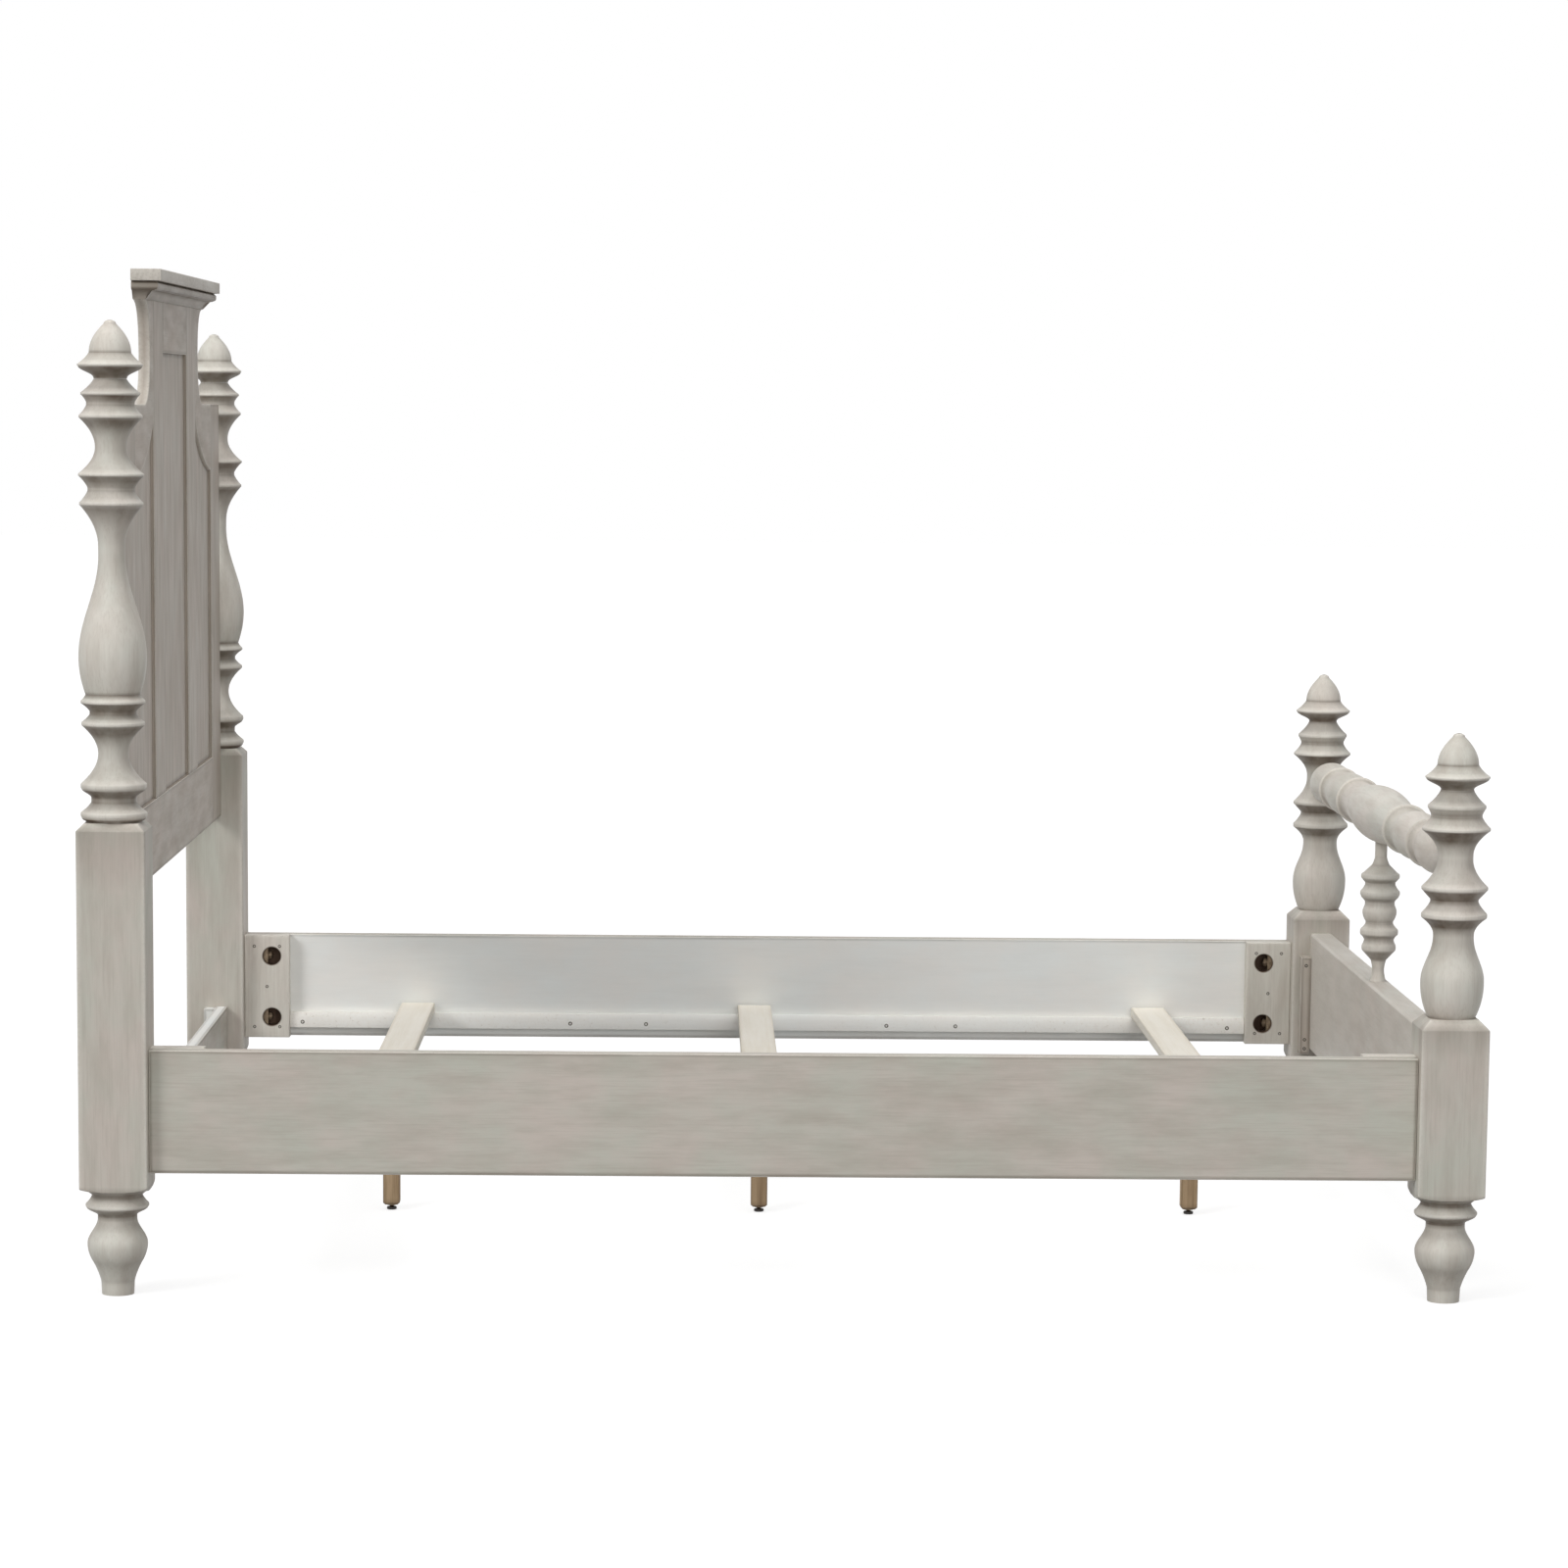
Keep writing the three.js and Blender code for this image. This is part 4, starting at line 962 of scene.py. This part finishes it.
def stretcher():
    piece = whole_board("head_stretcher", "painted_x", SOFT_ROUND)
    # Painted highlight: the stretcher's top takes the pale inner paint, as its top lies in the headboard's
    # shade
    paint_faces(piece, "inner_paint_x", lambda centre, normal: normal.z > 0.7)
    for side_name in ("left", "right"):
        cleat = f"stretcher_cleat_{side_name}"
        whole_board(cleat, "inner_paint_z")
        low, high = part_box(cleat)
        seats = [((low.x + high.x) / 2, high.y, low.z + (high.z - low.z) * share)
                 for share in STRETCHER_CLEAT_SCREW_SHARES]
        screws(cleat + "_screws", seats, (0, 1, 0), CLEAT_SCREW_RADIUS)


# Materials

def colour(red, green, blue):
    """A colour as it is read on a screen, for a shader."""
    def linear(value):
        share = value / 255
        return share / 12.92 if share <= 0.04045 else ((share + 0.055) / 1.055) ** 2.4
    return linear(red), linear(green), linear(blue), 1.0


class Recipe:
    """The nodes of a material or a world."""

    def __init__(self, owner):
        owner.use_nodes = True
        self.tree = owner.node_tree

    def feed(self, node, inputs):
        """Links or sets inputs of a node."""
        for socket, value in inputs.items():
            if isinstance(value, bpy.types.NodeSocket):
                self.tree.links.new(value, node.inputs[socket])
            else:
                node.inputs[socket].default_value = value

    def node(self, kind, inputs, output=0, **settings):
        """One output of a new node."""
        made = self.tree.nodes.new(kind)
        for key, setting in settings.items():
            setattr(made, key, setting)
        self.feed(made, inputs)
        return made.outputs[output]

    def show(self, unseen, shown, output):
        """Another shader for the rays that show the surface directly, in a gloss or through glass."""
        rays = self.tree.nodes.new("ShaderNodeLightPath").outputs
        seen = rays["Is Camera Ray"]
        for label in ("Is Glossy Ray", "Is Transmission Ray"):
            seen = self.node("ShaderNodeMath", {0: seen, 1: rays[label]}, operation="MAXIMUM")
        choice = self.node("ShaderNodeMixShader", {0: seen, 1: unseen, 2: shown})
        self.feed(self.tree.nodes[output], {"Surface": choice})


class Shader(Recipe):
    """A material that is kept by its name, and the steps that its recipe is written in."""

    def __init__(self, name):
        FINISHES[name] = bpy.data.materials.new(name)
        super().__init__(FINISHES[name])
        self.surface = self.tree.nodes["Principled BSDF"]
        spot = self.node("ShaderNodeTexCoord", {}, "Object")
        shift = self.times(self.node("ShaderNodeObjectInfo", {}, "Random"), 7.0)
        self.spot = self.node("ShaderNodeVectorMath", {0: spot, 1: shift}, operation="ADD")

    def times(self, first, second):
        return self.node("ShaderNodeMath", {0: first, 1: second}, operation="MULTIPLY")

    def mix(self, share, first, second):
        return self.node("ShaderNodeMix", {0: share, 6: first, 7: second}, 2, data_type="RGBA")

    def mark(self, label):
        """A value that the mesh carries at its points."""
        return self.node("ShaderNodeAttribute", {}, "Fac", attribute_name=label)

    def noise(self, scale, grain=None, stretch=1.0, detail=4.0, roughness=0.6):
        """Noise with a number of spots to the metre, drawn out along the grain."""
        squeeze = [scale * stretch if axis == grain else scale for axis in "xyz"]
        place = self.node("ShaderNodeMapping", {"Vector": self.spot, "Scale": squeeze})
        inputs = {"Vector": place, "Scale": 1.0, "Detail": detail, "Roughness": roughness}
        return self.node("ShaderNodeTexNoise", inputs, "Fac")

    def spread(self, value, low, high, bottom=0.0, top=1.0):
        inputs = {"Value": value, "From Min": low, "From Max": high, "To Min": bottom, "To Max": top}
        return self.node("ShaderNodeMapRange", inputs)

    def layers(self, body, tone, *steps):
        """Another tone over a colour, by steps of a noise, its limits and the most that shows."""
        for noise, low, high, most in steps:
            body = self.mix(self.spread(noise, low, high, 0.0, most), body, tone)
        return body

    def coat(self, body, noise, smooth, rough, more=()):
        """The surface's colour, its roughness by a noise, and what else it needs."""
        roughness = self.spread(noise, 0.3, 0.7, smooth, rough)
        self.feed(self.surface, {"Base Color": body, "Roughness": roughness, **dict(more)})

    def bump(self, height, strength, distance):
        inputs = {"Height": height, "Strength": strength, "Distance": distance}
        self.feed(self.surface, {"Normal": self.node("ShaderNodeBump", inputs)})

    def both(self, first, share, second):
        """Two heights, the first by its share and the second by the rest."""
        inputs = {0: self.times(first, share), 1: self.times(second, 1 - share)}
        return self.node("ShaderNodeMath", inputs, operation="ADD", use_clamp=True)


def paint(name, grain, tones, depth):
    """Brushed off-white paint, streaked along the grain, under a rubbed dark glaze that also lays painted
    shade, with pale worn rims that also carry a painted highlight.
    """
    base, warm, cool, streak = tones
    shader = Shader(name)
    broad = shader.noise(38, grain, 0.2, detail=6)
    fine = shader.noise(330, grain, 0.03, detail=3)
    clouds = shader.noise(9, grain, 0.7)
    specks = shader.noise(160, detail=5, roughness=0.75)
    patches = shader.noise(14, grain, 0.3)
    body = shader.mix(0.7, base, shader.mix(shader.spread(clouds, 0.36, 0.64), warm, cool))
    body = shader.layers(body, streak, (broad, 0.4, 0.72, 0.5 * depth), (fine, 0.5, 0.75, 0.35 * depth),
                         (patches, 0.56, 0.75, 0.35 * depth))
    # Pale tone: worn paint and a painted highlight on rims and edges. Brown specks: wear. Dark brown: glaze,
    # with painted shade under ledges, in hollows, recesses, under the block and under the cap.
    for label, noise, limits, tone in (
            ("wear_and_highlight", specks, (0.35, 0.6, 0.35, 0.7), (228, 223, 214)),
            ("wear_and_highlight", specks, (0.6, 0.68, 0.0, 0.45), (146, 132, 114)),
            ("glaze_and_shade", patches, (0.35, 0.62, 0.6, 0.95), (92, 77, 62))):
        share = shader.times(shader.mark(label), shader.spread(noise, *limits))
        body = shader.mix(share, body, colour(*tone))
    shader.coat(body, broad, 0.42, 0.58, {"Specular IOR Level": 0.25})
    shader.bump(shader.both(fine, 0.6, broad), 0.3, 0.0005)


def wood(name, grain, base, dark, edge, lines):
    """Plain unfinished wood with its grain."""
    shader = Shader(name)
    rings = shader.noise(70, grain, 0.04, detail=6, roughness=0.7)
    pores = shader.noise(480, grain, 0.03, detail=3)
    clouds = shader.noise(7, grain, 0.4)
    body = shader.layers(base, dark, (rings, 0.42, 0.66, lines), (clouds, 0.4, 0.7, 0.3),
                         (pores, 0.58, 0.74, 0.4))
    body = shader.mix(shader.times(shader.mark("wear_and_highlight"), 0.6), body, edge)
    body = shader.mix(shader.times(shader.mark("glaze_and_shade"), 0.7), body, edge)
    shader.coat(body, rings, 0.62, 0.8)
    shader.bump(shader.both(pores, 0.5, rings), 0.4, 0.0005)


def metal(name, base, dark, metallic):
    """Plated steel, dulled and stained in its hollows."""
    shader = Shader(name)
    stains = shader.noise(120, detail=5, roughness=0.7)
    scratches = shader.noise(900, "z", 0.1, detail=2)
    body = shader.layers(base, dark, (stains, 0.4, 0.65, 0.6))
    body = shader.mix(shader.times(shader.mark("glaze_and_shade"), 0.85), body, dark)
    shader.coat(body, stains, 0.4, 0.6, {"Metallic": metallic})
    shader.bump(scratches, 0.15, 0.0002)


def moulded(name, base, pale):
    """Moulded nylon, scuffed."""
    shader = Shader(name)
    scuffs = shader.noise(260, detail=5, roughness=0.7)
    body = shader.layers(base, pale, (scuffs, 0.5, 0.75, 0.5))
    shader.coat(body, scuffs, 0.4, 0.6)
    shader.bump(scuffs, 0.2, 0.0002)


# Paints: name, directions of grain, depth of the streaks, then base, warm, cool and streak colours. Several are
# darker or paler copies of one paint, for painted shade and painted light.
PAINTS = (
    ("painted_{}", "xyz", 1.0, (201, 195, 185), (207, 196, 187), (195, 197, 185), (172, 163, 151)),
    # Painted shade: a darker copy of the paint for the headboard's faces that look to the foot
    ("front_paint_{}", "xz", 1.0, (184, 174, 162), (188, 175, 163), (180, 173, 161), (158, 146, 133)),
    # Painted shade: a darker copy of the paint again, for the crown's cap and mouldings
    ("crown_paint_{}", "xy", 1.0, (169, 160, 149), (172, 161, 150), (165, 159, 148), (140, 129, 118)),
    # A paler, smoother paint on inner faces, made paler still as painted light, since those faces lie in shade
    ("inner_paint_{}", "xyz", 0.5, (243, 243, 239), (244, 241, 236), (240, 243, 241), (228, 228, 224)),
    # Painted light: a paler copy of the paint for the turned work, the end blocks and the foot panel's top
    ("turned_paint_{}", "xz", 1.0, (221, 215, 205), (224, 216, 207), (215, 215, 205), (184, 174, 162)),
    ("panel_paint", "x", 1.0, (200, 191, 181), (203, 193, 183), (196, 192, 182), (172, 162, 151)),
    # Painted light: a copy of the paint toned for the foot cleats, which stand in shade
    ("cleat_paint", "z", 1.0, (204, 195, 185), (206, 196, 186), (200, 195, 185), (168, 157, 145)),
)


def make_finishes():
    for name, grains, depth, *tones in PAINTS:
        for grain in grains:
            paint(name.format(grain), grain, [colour(*tone) for tone in tones], depth)
    wood("slat_wood", "x", colour(246, 241, 230), colour(226, 217, 199), colour(222, 212, 195), 0.35)
    wood("leg_wood", "z", colour(204, 176, 140), colour(136, 106, 76), colour(92, 72, 50), 0.75)
    wood("pocket_wood", "z", colour(132, 104, 82), colour(86, 64, 48), colour(58, 44, 33), 0.5)
    metal("plated_steel", colour(128, 112, 92), colour(62, 50, 38), 0.7)
    metal("screw_steel", colour(112, 106, 98), colour(52, 47, 42), 0.6)
    moulded("glide_nylon", colour(46, 41, 37), colour(84, 78, 72))


# Stage

FLOOR_HALF = 40
FLOOR_COLOUR = (0.35, 0.35, 0.35, 1)
FLOOR_GLOW = {"From Min": 3.0, "From Max": 12.0, "To Min": 0.8, "To Max": 0.98}
WHITE = (1, 1, 1, 1)
WORLD_LIGHT = 0.22


def make_floor():
    """A pale floor that reads as white to the camera, a little less so near the bed, where its shadow lies."""
    mesh = bpy.data.meshes.new("floor")
    corners = [(x * FLOOR_HALF, y * FLOOR_HALF, 0) for x, y in ((-1, -1), (1, -1), (1, 1), (-1, 1))]
    mesh.from_pydata(corners, [], [(0, 1, 2, 3)])
    linked("floor", mesh)
    material = bpy.data.materials.new("floor_white")
    recipe = Recipe(material)
    matt = recipe.tree.nodes["Principled BSDF"]
    recipe.feed(matt, {"Base Color": FLOOR_COLOUR, "Roughness": 1.0, "Specular IOR Level": 0.0})
    spot = recipe.node("ShaderNodeTexCoord", {}, "Object")
    distance = recipe.node("ShaderNodeVectorMath", {0: spot}, "Value", operation="LENGTH")
    level = recipe.node("ShaderNodeMapRange", {"Value": distance, **FLOOR_GLOW})
    glow = recipe.node("ShaderNodeEmission", {"Strength": level})
    both = recipe.node("ShaderNodeAddShader", {0: matt.outputs[0], 1: glow})
    recipe.show(matt.outputs[0], both, "Material Output")
    mesh.materials.append(material)


def make_world():
    world = bpy.data.worlds.new("studio")
    bpy.context.scene.world = world
    recipe = Recipe(world)
    soft = recipe.tree.nodes["Background"]
    recipe.feed(soft, {"Color": WHITE, "Strength": WORLD_LIGHT})
    white = recipe.node("ShaderNodeBackground", {"Color": WHITE, "Strength": 1.0})
    recipe.show(soft.outputs[0], white, "World Output")


def make_lights():
    """Square lamps that look at the bed's middle: name, place, height looked at, size and power."""
    for name, place, target, size, power in (
            ("overhead", (-2.0, 0.0, 12.5), 0.6, 9, 740),
            ("from_head_side", (-10.5, 11.5, 9.5), 0.7, 6, 1180),
            ("from_foot_side", (-15.5, -3.5, 4.4), 0.7, 6, 545)):
        data = bpy.data.lights.new(name, "AREA")
        data.shape = "SQUARE"
        data.size = size
        data.energy = power
        light = linked(name, data)
        light.location = place
        gaze = Vector((0, 0, target)) - Vector(place)
        light.rotation_euler = gaze.to_track_quat("-Z", "Y").to_euler()


def make_camera():
    """The photograph's view: from the left of the bed, a little above it."""
    yaw, pitch, roll = map(radians, (1.205, 7.226, 0.561))
    focal_pixels, picture_pixels = 4653, 1600
    data = bpy.data.cameras.new("camera")
    data.sensor_width = 36
    data.lens = focal_pixels / picture_pixels * data.sensor_width
    data.shift_y = 0.125
    data.clip_end = 200
    view = Matrix.Translation((-8.2305, 0.1591, 1.4709))
    for angle, axis in ((-pi / 2 - yaw, "Z"), (pi / 2 - pitch, "X"), (roll, "Z")):
        view @= Matrix.Rotation(angle, 4, axis)
    camera = linked("camera", data)
    camera.matrix_world = view
    bpy.context.scene.camera = camera


def make_bed():
    post_points = {}
    for end_name, end in ENDS:
        for side_name, side in SIDES:
            post_points[end_name] = post(end_name, side_name)
            finial(end_name, side_name)
            end_block(end_name, end, side_name, side)
    for side_name, side in SIDES:
        rail_parts(side_name, side)
    for place in SLATS:
        slat_parts(place)
    crown(headboard())
    foot_panel()
    spindle(bar(post_points["foot"]))
    stretcher()


make_camera()
make_finishes()
make_bed()
make_floor()
make_world()
make_lights()
bpy.context.scene.view_settings.view_transform = "Standard"
